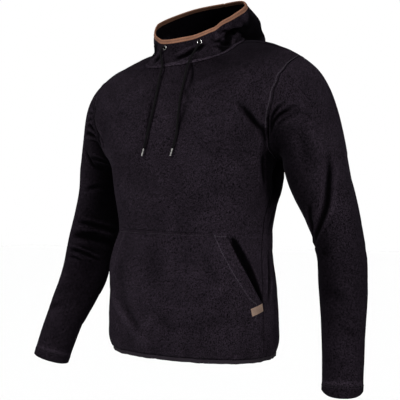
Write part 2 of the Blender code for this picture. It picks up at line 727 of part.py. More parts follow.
def cord_tip(side, end, way):
    """The metal sleeve clenched on a cord's end, a short tube with a rounded foot."""
    length, diameter = CORD_TIP
    tilt = math.acos(max(-1.0, min(1.0, way[2])))
    bpy.ops.mesh.primitive_cylinder_add(
        vertices=16,
        radius=diameter / 2,
        depth=length,
        location=end + way * (SEAM_GAP + length / 2),
        rotation=(0.0, tilt, math.atan2(way[1], way[0])),
    )
    made = bpy.context.object
    made.name = made.data.name = f"cord_tip_{side}"
    made.data.materials.append(finish("nickel"))
    soften = made.modifiers.new("Bevel", "BEVEL")
    soften.width = 0.6 * MM
    soften.segments = 1
    soften.limit_method = "ANGLE"
    move_to_garment(made)


clear_scene()
GARMENT = bpy.data.collections.new("fleece_jacket")
bpy.context.scene.collection.children.link(GARMENT)
body_panel("front_panel", 0)
body_panel("back_panel", 1)
sleeves()
hood()
face_binding()
hem_binding()
neck_band()
pocket()
label()
eyelets()
drawcords()
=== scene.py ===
"""A men's hooded fleece pullover jacket, hollow as it is worn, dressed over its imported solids.

Metres, +Z up. The wearer faces -Y with the left hand at +X, and the origin lies in the middle of the
neck base. The sections follow the order in which the garment is cut, sewn and trimmed.
"""

import math

import bmesh
import bpy
import numpy as np
from mathutils import Matrix, Vector, noise

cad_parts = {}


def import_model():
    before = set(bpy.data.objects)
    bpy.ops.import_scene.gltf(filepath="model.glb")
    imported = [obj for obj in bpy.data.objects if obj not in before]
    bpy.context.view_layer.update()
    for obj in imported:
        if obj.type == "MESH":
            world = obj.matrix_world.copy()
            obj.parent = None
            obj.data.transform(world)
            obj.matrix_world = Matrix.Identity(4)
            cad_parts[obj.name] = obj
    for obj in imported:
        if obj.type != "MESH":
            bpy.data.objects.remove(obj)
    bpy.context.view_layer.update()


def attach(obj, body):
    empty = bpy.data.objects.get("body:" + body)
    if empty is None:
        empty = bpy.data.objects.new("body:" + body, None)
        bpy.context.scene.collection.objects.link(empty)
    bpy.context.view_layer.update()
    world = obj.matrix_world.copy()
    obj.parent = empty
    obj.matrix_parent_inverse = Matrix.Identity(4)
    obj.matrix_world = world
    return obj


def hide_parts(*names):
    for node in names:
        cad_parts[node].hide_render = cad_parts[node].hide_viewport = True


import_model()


# ---- The studio ---------------------------------------------------------------------------------
# A pale floor where the wearer would stand, a white surround and soft lamps. The camera is level,
# at the height of the wearer's waist, a third of the way from the front to the wearer's left side.
FLOOR_HEIGHT = -1.45
FLOOR_SIZE = 60.0
FLOOR_COLOUR = (0.86, 0.86, 0.86)
SURROUND_BAND = (0.30, 0.50)  # up to here the surround is white, and from there on dim
SURROUND_DIM = 0.04
SURROUND_TURN = (-0.3, 0.7)  # from the camera's side to the far side, as shares of the way it looks
SURROUND_NEAR = 0.35  # how bright the surround is on the camera's side
WHITE = (1.0, 1.0, 1.0, 1.0)
PHOTO_SIDE = 400.0  # pixels
FOCAL_PIXELS = 752.0
LEVEL_ROW = 226.4  # the row that the level line of sight meets
MIDDLE_COLUMN = 195.6  # the column that the garment's upright axis meets
CAMERA_TURN = math.radians(32)
CAMERA_DISTANCE = 1.64
CAMERA_HEIGHT = -0.395
# name: degrees from the camera towards the wearer's left, degrees up, strength, degrees of softness
LAMPS = {
    "key_lamp": (-34, 33, 4.6, 16),
    "near_side_lamp": (40, 22, 2.1, 30),
}


def new_material(name, colour, roughness, metallic=0.0):
    """A material with one Principled shader."""
    made = bpy.data.materials.new(name)
    made.use_nodes = True
    shader = made.node_tree.nodes["Principled BSDF"]
    shader.inputs["Base Color"].default_value = (*colour, 1.0)
    shader.inputs["Roughness"].default_value = roughness
    shader.inputs["Metallic"].default_value = metallic
    return made, shader


def add_node(tree, kind, inputs=(), **settings):
    """A new node with its settings, and each named input set to a number or joined to an output."""
    made = tree.nodes.new(kind)
    for key, value in settings.items():
        setattr(made, key, value)
    for key, value in dict(inputs).items():
        if isinstance(value, bpy.types.NodeSocket):
            tree.links.new(value, made.inputs[key])
        else:
            made.inputs[key].default_value = value
    return made


def mapped(tree, value, start, end, low, high):
    """The value, with start to end mapped on to low to high."""
    limits = {"From Min": start, "From Max": end, "To Min": low, "To Max": high}
    return add_node(tree, "ShaderNodeMapRange", {"Value": value, **limits}).outputs["Result"]


def times(tree, one, other):
    """The product of two values."""
    return add_node(tree, "ShaderNodeMath", {0: one, 1: other}, operation="MULTIPLY").outputs[0]


bpy.ops.object.select_all(action="DESELECT")
bpy.ops.mesh.primitive_plane_add(size=FLOOR_SIZE, location=(0, 0, FLOOR_HEIGHT))
floor = bpy.context.object
floor.name = "studio_floor"
floor.data.materials.append(new_material("pale_floor", FLOOR_COLOUR, roughness=0.9)[0])

surround = bpy.data.worlds.new("studio_surround")
bpy.context.scene.world = surround
surround.use_nodes = True
sky = surround.node_tree
way = add_node(sky, "ShaderNodeTexCoord").outputs["Generated"]
height = add_node(sky, "ShaderNodeSeparateXYZ", {"Vector": way}).outputs["Z"]
bright = mapped(sky, height, *SURROUND_BAND, 1.0, SURROUND_DIM)
ahead = (-math.sin(CAMERA_TURN), math.cos(CAMERA_TURN), 0.0)
facing = add_node(sky, "ShaderNodeVectorMath", {0: way, 1: ahead}, operation="DOT_PRODUCT").outputs["Value"]
beyond = mapped(sky, facing, *SURROUND_TURN, SURROUND_NEAR, 1.0)
sky.links.new(times(sky, bright, beyond), sky.nodes["Background"].inputs["Strength"])
sky.nodes["Background"].inputs["Color"].default_value = WHITE

for name, (turn, lift, power, softness) in LAMPS.items():
    lamp = bpy.data.lights.new(name, "SUN")
    lamp.energy = power
    lamp.angle = math.radians(softness)
    shown = bpy.data.objects.new(name, lamp)
    shown.rotation_euler = (math.radians(90 - lift), 0, CAMERA_TURN + math.radians(turn))
    bpy.context.scene.collection.objects.link(shown)

lens = bpy.data.cameras.new("photo_camera")
lens.sensor_width = 36.0
lens.lens = lens.sensor_width * FOCAL_PIXELS / PHOTO_SIDE
lens.shift_x = 0.5 - MIDDLE_COLUMN / PHOTO_SIDE
lens.shift_y = LEVEL_ROW / PHOTO_SIDE - 0.5
camera = bpy.data.objects.new("photo_camera", lens)
camera.location = (-CAMERA_DISTANCE * ahead[0], -CAMERA_DISTANCE * ahead[1], CAMERA_HEIGHT)
camera.rotation_euler = (math.radians(90), 0, CAMERA_TURN)
bpy.context.scene.collection.objects.link(camera)
bpy.context.scene.camera = camera
bpy.context.scene.view_settings.view_transform = "Standard"


# ---- The front and back panels -------------------------------------------------------------------
# Two pieces of black fleece, sewn together down the sides and over the shoulders. They are worked out
# as loops round the body from the hem to the neck, then given their folds, puckers and sewn edges.
MM = 0.001
FLEECE_THICKNESS = 2.0 * MM
FLEECE_COLOUR = (0.0072, 0.0054, 0.0076)
# Grains of the nap: scale, detail, half the noise's range, and its least and greatest share of colour.
FLEECE_GRAINS = [
    (620, 1, 0.14, 0.05, 1.95),
    (300, 2, 0.20, 0.80, 1.20),
    (20, 4, 0.20, 0.80, 1.20),
]
FLEECE_BUMPS = [(0.5, 0.4), (0.7, 0.8)]  # strength and mm, of the first two grains
FLEECE_SHADE_RANGE = (-1.0, 1.0, 1.93, 0.07)  # from full painted light to full painted shade, and the shares of the colour there
FLEECE_SHEEN = {"Sheen Weight": 0.008, "Sheen Roughness": 0.55, "Sheen Tint": (0.86, 0.78, 1.0, 1.0)}
# Uneven waves in the cloth: metres across, mm high, and where each starts.
CLOTH_WAVES = [(0.085, 1.5, 0.0), (0.032, 0.55, 7.3), (0.011, 0.18, 3.1)]
# Waves round a gathered edge: how many, how high, where they start and how an offset moves them.
GATHER_WAVES = [(17, 1.0, 0, 1), (29, 0.7, 2, 2), (43, 0.5, 4, -1)]
BODY_COLUMNS = "level half_width y_front y_side y_back z_front z_side z_back square_front square_back dip"
BODY_LOOPS = [  # level: 0 hem, 1 underarm, 2 shoulder tip, 3 neck; the rest in mm, square as a share
    (0.00, 190, -122, -15, 92, -661, -658, -653, 0.05, 0.05, 0),
    (0.05, 196, -127, -14, 97, -643, -640, -637, 0.05, 0.05, 0),
    (0.15, 195, -128, -13, 101, -603, -601, -599, 0.05, 0.05, 0),
    (0.35, 187, -127, -11, 103, -521, -519, -517, 0.05, 0.05, 0),
    (0.62, 176, -121, -8, 103, -410, -408, -406, 0.05, 0.05, 0),
    (0.85, 190, -126, 0, 116, -320, -318, -316, 0.06, 0.06, 0),
    (1.00, 198, -128, 6, 126, -262, -262, -262, 0.08, 0.08, 0),
    (1.15, 220, -128, 9, 129, -236, -232, -234, 0.08, 0.08, 0),
    (1.35, 250, -127, 11, 130, -205, -188, -190, 0.06, 0.06, 0),
    (1.70, 282, -121, 13, 129, -160, -112, -125, 0.03, 0.03, 0),
    (1.90, 270, -115, 13, 125, -137, -70, -95, 0.02, 0.02, 0),
    (2.00, 240, -112, 13, 123, -125, -49, -80, 0.02, 0.02, 0),
    (2.35, 190, -104, 14, 115, -103, -24, -27, 0.02, 0.02, 0),
    (2.70, 136, -95, 15, 103, -79, -7, 8, 0.03, 0.01, 1),
    (3.00, 95, -85, 15, 88, -55, -5, 28, 0.18, 0.00, 10),
]
SIDE_SEAM = [  # level, and degrees from the centre front
    (0.00, 71.0),
    (0.15, 71.5),
    (0.30, 74.5),
    (0.45, 78.5),
    (0.60, 82.0),
    (0.85, 84.0),
    (1.00, 86.0),
]
ARMHOLE = [  # level, and the degrees of its front and back edges
    (1.00, 86.0, 86.0),
    (1.07, 71.0, 99.0),
    (1.20, 61.0, 110.0),
    (1.38, 53.5, 119.0),
    (1.62, 50.5, 125.0),
    (1.80, 53.0, 124.0),
    (1.92, 61.0, 117.0),
    (1.975, 75.0, 104.0),
    (2.00, 90.0, 90.0),
]
# Folds: degrees round and mm along at both ends, then bow, width and depth in mm. On the body a place
# is degrees from the centre front and mm up from the origin.
BODY_FOLDS = [
    (33, -138, 57, -226, -9, 15, 8.0),
    (45, -168, 62, -242, 3, 12, 6.0),
    (-35, -146, -57, -222, 8, 15, 7.0),
    (150, -112, 122, -218, 9, 18, 8.0),
    (-147, -122, -123, -212, -9, 17, 7.0),
    (124, -392, 164, -414, 5, 17, 6.0),
    (-158, -404, -118, -386, -5, 16, 5.5),
    (172, -300, -176, -470, 9, 26, 4.5),
    (97, -292, 86, -404, 6, 17, 6.0),
    (-98, -300, -88, -412, -6, 17, 5.0),
    (98, -250, 96, -650, 0, 40, -4.0),
    (98, -256, 100, -350, 0, 24, -7.5),
]
BODY_CREASES = [
    (33, -148, 57, -213, -7, 4.0, 2.6),
    (38, -140, 62, -222, -9, 5, -2.0),
    (50, -196, 64, -246, 2, 6, 3.2),
    (-49, -108, -54, -244, 0, 4.5, 3.4),
    (-26, -50, -72, -36, 2, 3.5, -1.4),
    (24, -214, 52, -270, 3, 6, -1.0),
    (34, -236, 58, -290, 3, 7, 1.0),
    (62, -236, 76, -330, 3, 9, 4.2),
    (72, -240, 104, -276, 3, 10, 4.0),
    (82, -262, 92, -372, 4, 12, 4.4),
    (-64, -236, -78, -330, -3, 9, 4.0),
    (-84, -262, -94, -366, -4, 12, 4.2),
    (138, -150, 122, -214, 3, 7, 3.4),
    (-140, -146, -124, -206, -3, 7, 3.0),
    (118, -380, 150, -396, 4, 8, 2.6),
    (128, -412, 172, -436, 5, 10, 2.6),
    (-168, -422, -124, -404, -5, 9, 2.6),
    (-150, -380, -112, -366, -4, 8, 2.4),
    (104, -330, 90, -420, 5, 9, 2.6),
    (92, -440, 82, -556, 4, 6, 3.4),
    (112, -400, 100, -450, 3, 4, -1.6),
    (104, -500, 96, -630, -4, 6, -1.8),
    (-92, -440, -84, -580, -4, 7, 2.8),
    (-106, -500, -98, -630, 4, 6, -1.6),
    # These two run under the pocket's hand openings; with the painted shadow in POCKET_SHADE they make each
    # opening's dark wedge.
    (50, -422, 73.5, -551, 1, 8, 6.5),
    (-50, -422, -73.5, -551, -1, 8, 6.5),
    # These four run beside the drawcords; their painted shade stands in for the cords' shadows on the chest.
    (-12.5, -58, -7, -134, 2, 3.2, 2.0),
    (-7, -116, -10, -236, 1, 3.2, 2.2),
    (24.5, -48, 8.5, -134, 2, 3.2, 2.0),
    (11, -112, 6, -240, 2, 3.2, 2.2),
    (-14, -600, -18, -668, 0, 3.5, 1.6),
    (-5, -604, -7, -668, 0, 3.0, 1.4),
    (25, -612, 26, -668, 1, 3.0, 1.2),
    (46, -616, 47, -668, 1, 3.0, 1.0),
]
POCKET_SHADE = [  # the line of shade down each pocket opening, with depths from 0 to 1
    (45.5, -402, 76.5, -564, 3, 12.0, 1.0),
    (-45.5, -402, -76.5, -564, -3, 12.0, 1.0),
]
FOLD_FADE = 0.7  # a fold dies out at its ends as this power of a half wave
BODY_ROUND = 3.0  # mm along the cloth for each degree round the body
SEAM_ROUND = 2.4  # the same beside a seam
SEAM_RADIUS = 110.0 * MM  # from the body's axis to a side seam, roughly
COLUMNS = 190  # across one panel
ROWS_LOW = 116
ROWS_ARMHOLE = 84
ROWS_SHOULDER = 44
SEAM_GAP = 0.1 * MM
SIDE_CREASES = 0.4  # how high the cloth stands beside a crease, as a share of the crease's depth
HEM_HEIGHT = -660.0  # mm up from the origin
SEAM_SINK = (1.3, 2.2)  # mm deep and wide, where a panel's edge turns in to its seam
ARMHOLE_RIDGE = (4.5, 1.9, 0.9)  # mm in from the armhole, its width and its height
HEM_PUCKER = (1.3, 24.0)  # mm high at the elastic, and the mm over which it dies out
NECK_PUCKER = (0.7, 16.0, 1.7)  # the same at the neck, and the offset of its waves
NECK_BAND = (9.0, 2.8)  # mm wide and high, the raised seam round the neck
NECK_BAND_DOWN = 4.6  # mm from the neck seam to its middle
SHOULDER_LENGTH = 150.0  # mm from the shoulder tip to the neck, for one level
ARMPIT_SHADE_FRONT = (59.0, 1.14, 48.0)  # degrees at a level, and degrees for each level below it, of the painted shade's front edge under the arm
# Patches of a strength, each bounded by slopes: what a slope reads, where it starts and how far it runs
# until it is full. Above 0 a patch is painted shade and below 0 painted light.
# Painted shade on the body's sides under the arms, where the arms shade them.
ARMPIT_SHADE = (1.1, ("past_front", 0, 5), ("aside", 140, -25), ("level", 1.26, -0.06), ("level", 0.70, 0.14))
# The painted shadow down each pocket opening, lighter low on the sides, painted shade on the left shoulder's
# top, and painted shade on both shoulders' tops.
PAINTED_SHADE_PATCHES = [
    (1.2, ("shade", 0.35, 0.14)),
    (-0.14, ("aside", 58, 10), ("level", 0.66, -0.10)),
    (0.42, ("level", 1.8, 0.6), ("turned", 0, 40)),
    (0.22, ("level", 2.0, 0.6)),
]
ON_ARMHOLE = (1.0, ("level", 1.02, 0.05), ("level", 2.0, -0.03))
# Limits of the painted shade written on the cloth: 1 at most, and below 0 painted light.
PAINTED_SHADE_RANGE = (-0.6, 1.0)
FOLD_SHADE = 0.05  # painted shade for each mm of a broad fold's depth
CREASE_SHADE = (0.30, -0.5, 1.0)  # the same for a crease, at least (painted light on a ridge) and at most
# Painted light on the puckers' crests, and painted shade in their hollows.
PUCKER_LIGHT = 0.35
# Painted highlight on the armhole's raised ridge.
RIDGE_LIGHT = 0.5
# Painted shade where a panel's edge sinks into its seam.
SEAM_SHADE = 0.7
BAND_EDGE_SHADE = (0.7, 1.0, 1.4)  # how much painted shade, mm beside the neck band, and mm wide


def table_columns(names, rows, unscaled):
    """The table's columns by name, in metres, apart from the unscaled ones."""
    values = np.array(rows, float)
    return {name: values[:, i] * (1.0 if name in unscaled else MM) for i, name in enumerate(names.split())}


def through(knots, values, at):
    """A smooth curve through the values at the knots, read at any places between them."""
    knots, values, at = (np.asarray(a, float) for a in (knots, values, at))
    steps = np.diff(knots)
    slopes = np.diff(values) / steps
    tangents = np.empty_like(values)
    tangents[0], tangents[-1] = slopes[0], slopes[-1]
    tangents[1:-1] = (slopes[:-1] * steps[1:] + slopes[1:] * steps[:-1]) / (steps[:-1] + steps[1:])
    i = np.clip(np.searchsorted(knots, at, side="right") - 1, 0, len(steps) - 1)
    h = steps[i]
    x = (at - knots[i]) / h
    low = (1 + 2 * x) * (1 - x) ** 2 * values[i] + x * (1 - x) ** 2 * h * tangents[i]
    return low + x * x * (3 - 2 * x) * values[i + 1] + x * x * (x - 1) * h * tangents[i + 1]


def round_loop(front, side, back, angle):
    """A value that passes front at 0 degrees, side at 90 and back at 180, with no kink."""
    middle = (front + back) / 2
    return (middle + side) / 2 + (front - back) / 2 * np.cos(angle) + (middle - side) / 2 * np.cos(2 * angle)


def loop_points(columns, key, at, angle):
    """Points of the loops at the places at along key, at angles from the centre front."""
    at, angle = matched(at, angle)
    row = {name: through(columns[key], values, at) for name, values in columns.items() if name != key}
    corner = np.sin(2 * angle) ** 2
    behind = np.cos(angle) < 0
    swell = 1 + corner * np.where(behind, row["square_back"], row["square_front"])
    y = round_loop(row["y_front"], row["y_side"], row["y_back"], angle)
    z = round_loop(row["z_front"], row["z_side"], row["z_back"], angle)
    z = z - row["dip"] * corner * ~behind
    if "lift" in row:
        z = z + row["lift"] * corner * behind
    x = row["half_width"] * np.sin(angle) * swell
    return np.stack([x, row["y_side"] + (y - row["y_side"]) * swell, z], axis=-1)


def unit(vectors):
    return vectors / np.maximum(np.linalg.norm(vectors, axis=-1, keepdims=True), 1e-12)


def ramp(value, start, run):
    """0 up to the start and 1 from start + run on; a run below 0 slopes the other way."""
    return np.clip((value - start) / run, 0, 1)


def patch(read, strength, *slopes):
    """The strength where all the slopes are full, dying out to 0 over them."""
    return strength * math.prod(ramp(read[name], start, run) for name, start, run in slopes)


def bell(value, width):
    """1 at 0, dying out to both sides over the width."""
    return np.exp(-((value / width) ** 2))


def matched(*values):
    """The values as arrays of one shape."""
    return np.broadcast_arrays(*(np.asarray(value, float) for value in values))


def half_turn(degrees):
    """The degrees, counted from -180 to 180."""
    return (degrees + 180) % 360 - 180


def faced(surface, up, angle):
    """Points of a stack of loops, and their unit normals, pointing out of the cloth."""
    d = 1e-4
    lift = surface(np.minimum(up + d, surface.top), angle) - surface(np.maximum(up - d, 0), angle)
    turn = surface(up, angle + d) - surface(up, angle - d)
    return surface(up, angle), unit(np.cross(turn, lift))


def sunk(folds, degrees, along, per_degree, shoulder=0.0):
    """How deep the cloth lies in its folds, in metres. shoulder raises a soft ridge beside each."""
    deep = 0.0
    for round_from, along_from, round_to, along_to, bow, width, depth in folds:
        across = half_turn(degrees - round_from) * per_degree
        run = np.array([half_turn(round_to - round_from) * per_degree, along_to - along_from])
        length = np.hypot(*run)
        share = (across * run[0] + (along - along_from) * run[1]) / length**2
        beside = ((along - along_from) * run[0] - across * run[1]) / length - 4 * bow * share * (1 - share)
        fade = np.sin(math.pi * np.clip(share, 0, 1)) ** FOLD_FADE
        dip = bell(beside, width) - shoulder * bell(np.abs(beside) - 2 * width, width)
        deep = deep + depth * MM * fade * dip
    return deep


def fold_shade(broad, sharp):
    """The painted shade in the folds, up to 1, or painted light on the ridges, below 0."""
    per_mm, least, most = CREASE_SHADE
    return FOLD_SHADE * np.maximum(broad, 0) / MM + np.clip(per_mm * sharp / MM, least, most)


def ripple(points, size, offset=0.0):
    """Smooth uneven waves from -1 to 1 over the points, about size metres across."""
    flat = points.reshape(-1, 3) / size + offset
    return np.array([noise.noise(Vector(p)) for p in flat]).reshape(points.shape[:-1])


def gathers(degrees, offset=0.0):
    """Uneven small waves round a gathered edge, from -1 to 1."""
    turn = np.radians(degrees)
    count, high, start, moved = np.array(GATHER_WAVES).T
    return np.sin(turn[..., None] * count + start + moved * offset) @ high / sum(high)


def hem_pucker(degrees, height):
    """The small waves that the hem's elastic draws, from -1 to 1, dying out above it."""
    return gathers(degrees) * np.exp(-np.clip((height - HEM_HEIGHT) / HEM_PUCKER[1], 0, None))


BODY = table_columns(BODY_COLUMNS, BODY_LOOPS, ("level", "square_front", "square_back"))
SEAM = table_columns("level seam", SIDE_SEAM, ("level", "seam"))
EDGES = table_columns("level front back", ARMHOLE, ("level", "front", "back"))


def body_point(level, angle):
    """The body's smooth outer face."""
    return loop_points(BODY, "level", level, angle)


body_point.top = 3.0


def panel_edge(level, side):
    """The angle of the front (0) or back (1) panel's edge from the centre front, in radians."""
    low = through(SEAM["level"], SEAM["seam"], np.minimum(level, 1))
    armhole = through(EDGES["level"], EDGES[("front", "back")[side]], np.clip(level, 1, 2))
    return np.radians(np.where(np.asarray(level) <= 1, low, armhole))


def wave_cloth(points):
    """The fleece's own unevenness, in metres: long low drapes and small dimples."""
    return MM * sum(high * ripple(points, size, offset) for size, high, offset in CLOTH_WAVES)


def body_cloth(level, angle, side=None):
    """The body's outer face with its folds, puckers and sewn edges, its normals and its painted shade."""
    level, angle = matched(level, angle)
    base, normals = faced(body_point, level, angle)
    degrees, height = np.degrees(angle), base[..., 2] / MM
    turned = half_turn(degrees)
    aside = np.abs(turned)
    front, at_level, per_level = ARMPIT_SHADE_FRONT
    read = {"level": level, "turned": turned, "aside": aside}
    read["past_front"] = aside - front - (at_level - level) * per_level
    read["shade"] = sunk(POCKET_SHADE, degrees, height, BODY_ROUND) / MM
    broad = sunk(BODY_FOLDS, degrees, height, BODY_ROUND)
    sharp = sunk(BODY_CREASES, degrees, height, BODY_ROUND, SIDE_CREASES)
    pucker = hem_pucker(turned, height)
    # Painted shade in folds and creases, the pockets' painted shadow, and the painted shade under the arms.
    painted_shade = fold_shade(broad, sharp) - PUCKER_LIGHT * pucker + patch(read, *PAINTED_SHADE_PATCHES[0])
    painted_shade = np.maximum(painted_shade, patch(read, *ARMPIT_SHADE)) + sum(patch(read, *row) for row in PAINTED_SHADE_PATCHES[1:])
    below_neck = (body_point.top - level) * SHOULDER_LENGTH
    neck_fade = np.exp(-np.clip(below_neck / NECK_PUCKER[1], 0, None))
    shift = wave_cloth(base) - broad - sharp + HEM_PUCKER[0] * MM * pucker
    shift = shift + NECK_PUCKER[0] * MM * gathers(turned, NECK_PUCKER[2]) * neck_fade
    if side is not None:
        inside = np.abs(np.degrees(panel_edge(level, side)) - aside) * SEAM_ROUND
        seam = bell(inside, SEAM_SINK[1])
        away, wide, high = ARMHOLE_RIDGE
        ridge = patch(read, *ON_ARMHOLE) * bell(inside - away, wide)
        # Painted shade in the seam, and a painted highlight on the armhole's ridge.
        painted_shade = painted_shade + SEAM_SHADE * seam - RIDGE_LIGHT * ridge
        shift = shift - SEAM_SINK[0] * MM * seam + high * MM * ridge
    # A line of painted shade on each side of the raised neck band.
    flat, beside, wide = BAND_EDGE_SHADE
    from_band = np.abs(below_neck - NECK_BAND_DOWN) - NECK_BAND[0] / 2
    return base + normals * shift[..., None], normals, painted_shade + flat * bell(from_band - beside, wide)


def grid_faces(rows, columns, closed, start=0, flip=False):
    """Quads of a grid of points, row by row; closed joins its last column to its first."""
    r, c = np.meshgrid(np.arange(rows - 1), np.arange(columns if closed else columns - 1), indexing="ij")
    n = (c + 1) % columns
    low, high = r * columns, (r + 1) * columns
    quads = np.stack([low + c, low + n, high + n, high + c], axis=-1).reshape(-1, 4) + start
    return (quads[:, ::-1] if flip else quads).tolist()


def add_piece(name, points, faces, material):
    """One smooth mesh object at the origin, with its faces turned outwards."""
    mesh = bpy.data.meshes.new(name)
    mesh.from_pydata(np.asarray(points).reshape(-1, 3).tolist(), [], faces)
    shape = bmesh.new()
    shape.from_mesh(mesh)
    if shape.calc_volume(signed=True) < 0:
        bmesh.ops.reverse_faces(shape, faces=shape.faces[:])
    shape.to_mesh(mesh)
    shape.free()
    mesh.shade_smooth()
    mesh.materials.append(material)
    made = bpy.data.objects.new(name, mesh)
    bpy.context.scene.collection.objects.link(made)
    return made


def paint_light_and_shade(piece, painted_shade):
    """The painted shade at each point, written on the piece for its material; below 0 it is painted light.
    """
    shares = np.clip(painted_shade, *PAINTED_SHADE_RANGE).astype(np.float32)
    piece.data.attributes.new("shade_share", "FLOAT", "POINT").data.foreach_set("value", shares)


def cloth_wall(name, outer, inner, material, closed=False, painted_shade=None, inside=0.3):
    """A closed wall lofted between the outer and inner grids of one piece of cloth, with the painted shade
    given on its outer face and the painted shade inside on its inner face.
    """
    rows, columns = outer.shape[:2]
    count = rows * columns
    faces = grid_faces(rows, columns, closed) + grid_faces(rows, columns, closed, count, True)
    cells = np.arange(count).reshape(rows, columns)
    if closed:
        cells = np.concatenate([cells, cells[:, :1]], axis=1)
    rims = [(cells[0], False), (cells[-1], True)]
    if not closed:
        rims += [(cells[:, 0], True), (cells[:, -1], False)]
    for rim, reverse in rims:
        for a, b in zip(rim[:-1].tolist(), rim[1:].tolist()):
            quad = [a, b, b + count, a + count]
            faces.append(quad if reverse else quad[::-1])
    made = add_piece(name, np.concatenate([outer.reshape(-1, 3), inner.reshape(-1, 3)]), faces, material)
    if painted_shade is not None:
        paint_light_and_shade(made, np.concatenate([painted_shade.ravel(), np.full(count, inside)]))
    return made


def dress(piece, slot, *nodes):
    """The piece rides on the garment and stands for the nodes, which it hides. The slot is not used."""
    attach(piece, "root")
    if nodes:
        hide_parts(*nodes)
    return piece


def cloth_material(name, colour, roughness, shine, grains, bumps, folds):
    """A cloth mottled by its grains, darkened by the piece's painted shade and lightened by its painted
    light, and raised by its first grains.
    """
    made, shader = new_material(name, colour, roughness)
    tree = made.node_tree
    place = add_node(tree, "ShaderNodeTexCoord").outputs["Object"]
    heights, share = [], None
    for scale, detail, half, low, high in grains:
        grain = {"Vector": place, "Scale": scale, "Detail": detail}
        heights.append(add_node(tree, "ShaderNodeTexNoise", grain).outputs["Fac"])
        spread = mapped(tree, heights[-1], 0.5 - half, 0.5 + half, low, high)
        share = spread if share is None else times(tree, share, spread)
    # The piece's painted shade and painted light scale the colour.
    shade_share = add_node(tree, "ShaderNodeAttribute", attribute_name="shade_share").outputs["Fac"]
    share = times(tree, share, mapped(tree, shade_share, *folds))
    tint = add_node(tree, "ShaderNodeVectorMath", {0: colour, "Scale": share}, operation="SCALE")
    tree.links.new(tint.outputs["Vector"], shader.inputs["Base Color"])
    under = {}
    for height, (strength, distance) in zip(heights, bumps):
        bump = {"Height": height, "Strength": strength, "Distance": distance * MM, **under}
        under = {"Normal": add_node(tree, "ShaderNodeBump", bump).outputs["Normal"]}
    tree.links.new(under["Normal"], shader.inputs["Normal"])
    shader.inputs["Specular IOR Level"].default_value = shine
    return made, shader


def fleece_material():
    """Black fleece: a dull brushed nap with a faint violet sheen, finely mottled."""
    looks = {"grains": FLEECE_GRAINS, "bumps": FLEECE_BUMPS, "folds": FLEECE_SHADE_RANGE}
    made, shader = cloth_material("black_fleece", FLEECE_COLOUR, roughness=0.95, shine=0.0, **looks)
    for key, value in FLEECE_SHEEN.items():
        shader.inputs[key].default_value = value
    return made


def armhole_levels():
    """The levels of the armhole's points, closer together towards the underarm and the shoulder."""
    even = np.linspace(0, 1, ROWS_ARMHOLE + 1)
    return 1 + 0.5 * even + 0.25 * (1 - np.cos(math.pi * even))


def panel_grid(side):
    """Levels and angles of the front (0) or back (1) panel's points."""
    low = np.linspace(0, 1, ROWS_LOW + 1)[:-1]
    levels = np.concatenate([low, armhole_levels()[:-1], np.linspace(2, 3, ROWS_SHOULDER + 1)])
    half, middle = panel_edge(levels, side)[:, None], 0.0
    if side == 1:
        half, middle = math.pi - half, math.pi
    angles = middle + np.linspace(-1, 1, COLUMNS + 1) * (half - SEAM_GAP / 2 / SEAM_RADIUS)
    return np.repeat(levels[:, None], COLUMNS + 1, axis=1), angles


FLEECE = fleece_material()
PANEL_CUTS = {  # node: side, the cut's width and length, and its area in square metres
    "front_panel": (0, (0.54, 0.66), 0.310),
    "back_panel": (1, (0.62, 0.70), 0.365),
}
for node, (side, flat, area) in PANEL_CUTS.items():
    levels, angles = panel_grid(side)
    outer, normals, painted_shade = body_cloth(levels, angles, side)
    inner = outer - normals * FLEECE_THICKNESS
    panel = cloth_wall(node.replace("_panel", "_of_fleece"), outer, inner, FLEECE, painted_shade=painted_shade)
    dress(panel, "fleece", node)


# ---- The sleeves ---------------------------------------------------------------------------------
# Each is one piece of fleece, closed along the inner arm and set into its armhole. Its end is turned
# up inside and stitched, which makes the cuff.
SLEEVE_COLUMNS = "along x y z across deep turn"
SLEEVE_SECTIONS = [  # along as a share of the arm, turn in degrees, the rest in mm
    (0.00, 268, 30, -262, 63, 68, 0),
    (0.10, 278, 34, -305, 60, 65, 0),
    (0.25, 303, 33, -370, 53, 57, 0),
    (0.40, 324, 24, -440, 48, 51, -5),
    (0.58, 335, 8, -520, 49, 44, -18),
    (0.74, 346, -20, -590, 45.5, 39, -28),
    (0.90, 356, -51, -665, 42.5, 35.5, -30),
    (1.00, 361, -66, -706, 41.5, 34.3, -30),
]
CAP_PULL = (0.9, 1.0)
CAP_ROWS = 50
ARM_ROWS = 150
SLEEVE_ROUND = 0.8
# On a sleeve a place is degrees from the arm's inner side round its front, and mm below the armhole.
SLEEVE_FOLDS = {
    "left": [
        (112, 20, 46, 12, 5, 11, 5.0),
        (142, 118, 24, 304, -24, 9, 6.0),
        (44, 90, 38, 330, 0, 26, -2.6),
        (46, 100, 44, 178, 0, 20, -2.2),
        (70, 250, 18, 286, 4, 11, 4.0),
        (318, 66, 28, 98, 6, 14, 6.0),
        (196, 262, 288, 282, -6, 14, 5.0),
        (54, 392, 128, 434, 5, 14, 3.5),
        (210, 470, 300, 500, -5, 14, 3.5),
        (180, 8, 184, 132, 0, 42, -4.5),
    ],
    "right": [
        (136, 36, 64, 10, 6, 10, 5.5),
        (120, 60, 48, 24, 6, 11, 6.0),
        (112, 84, 52, 104, -6, 11, 7.0),
        (78, 282, -10, 266, 5, 11, 4.6),
        (110, 337, 14, 338, 5, 11, 4.6),
        (322, 62, 24, 90, 6, 14, 6.0),
        (200, 250, 290, 274, -6, 14, 5.0),
        (60, 420, 130, 446, 5, 14, 3.5),
        (-20, 225, -26, 500, 0, 28, -12.0),
        (-10, 170, -22, 420, 0, 26, -8.0),
    ],
}
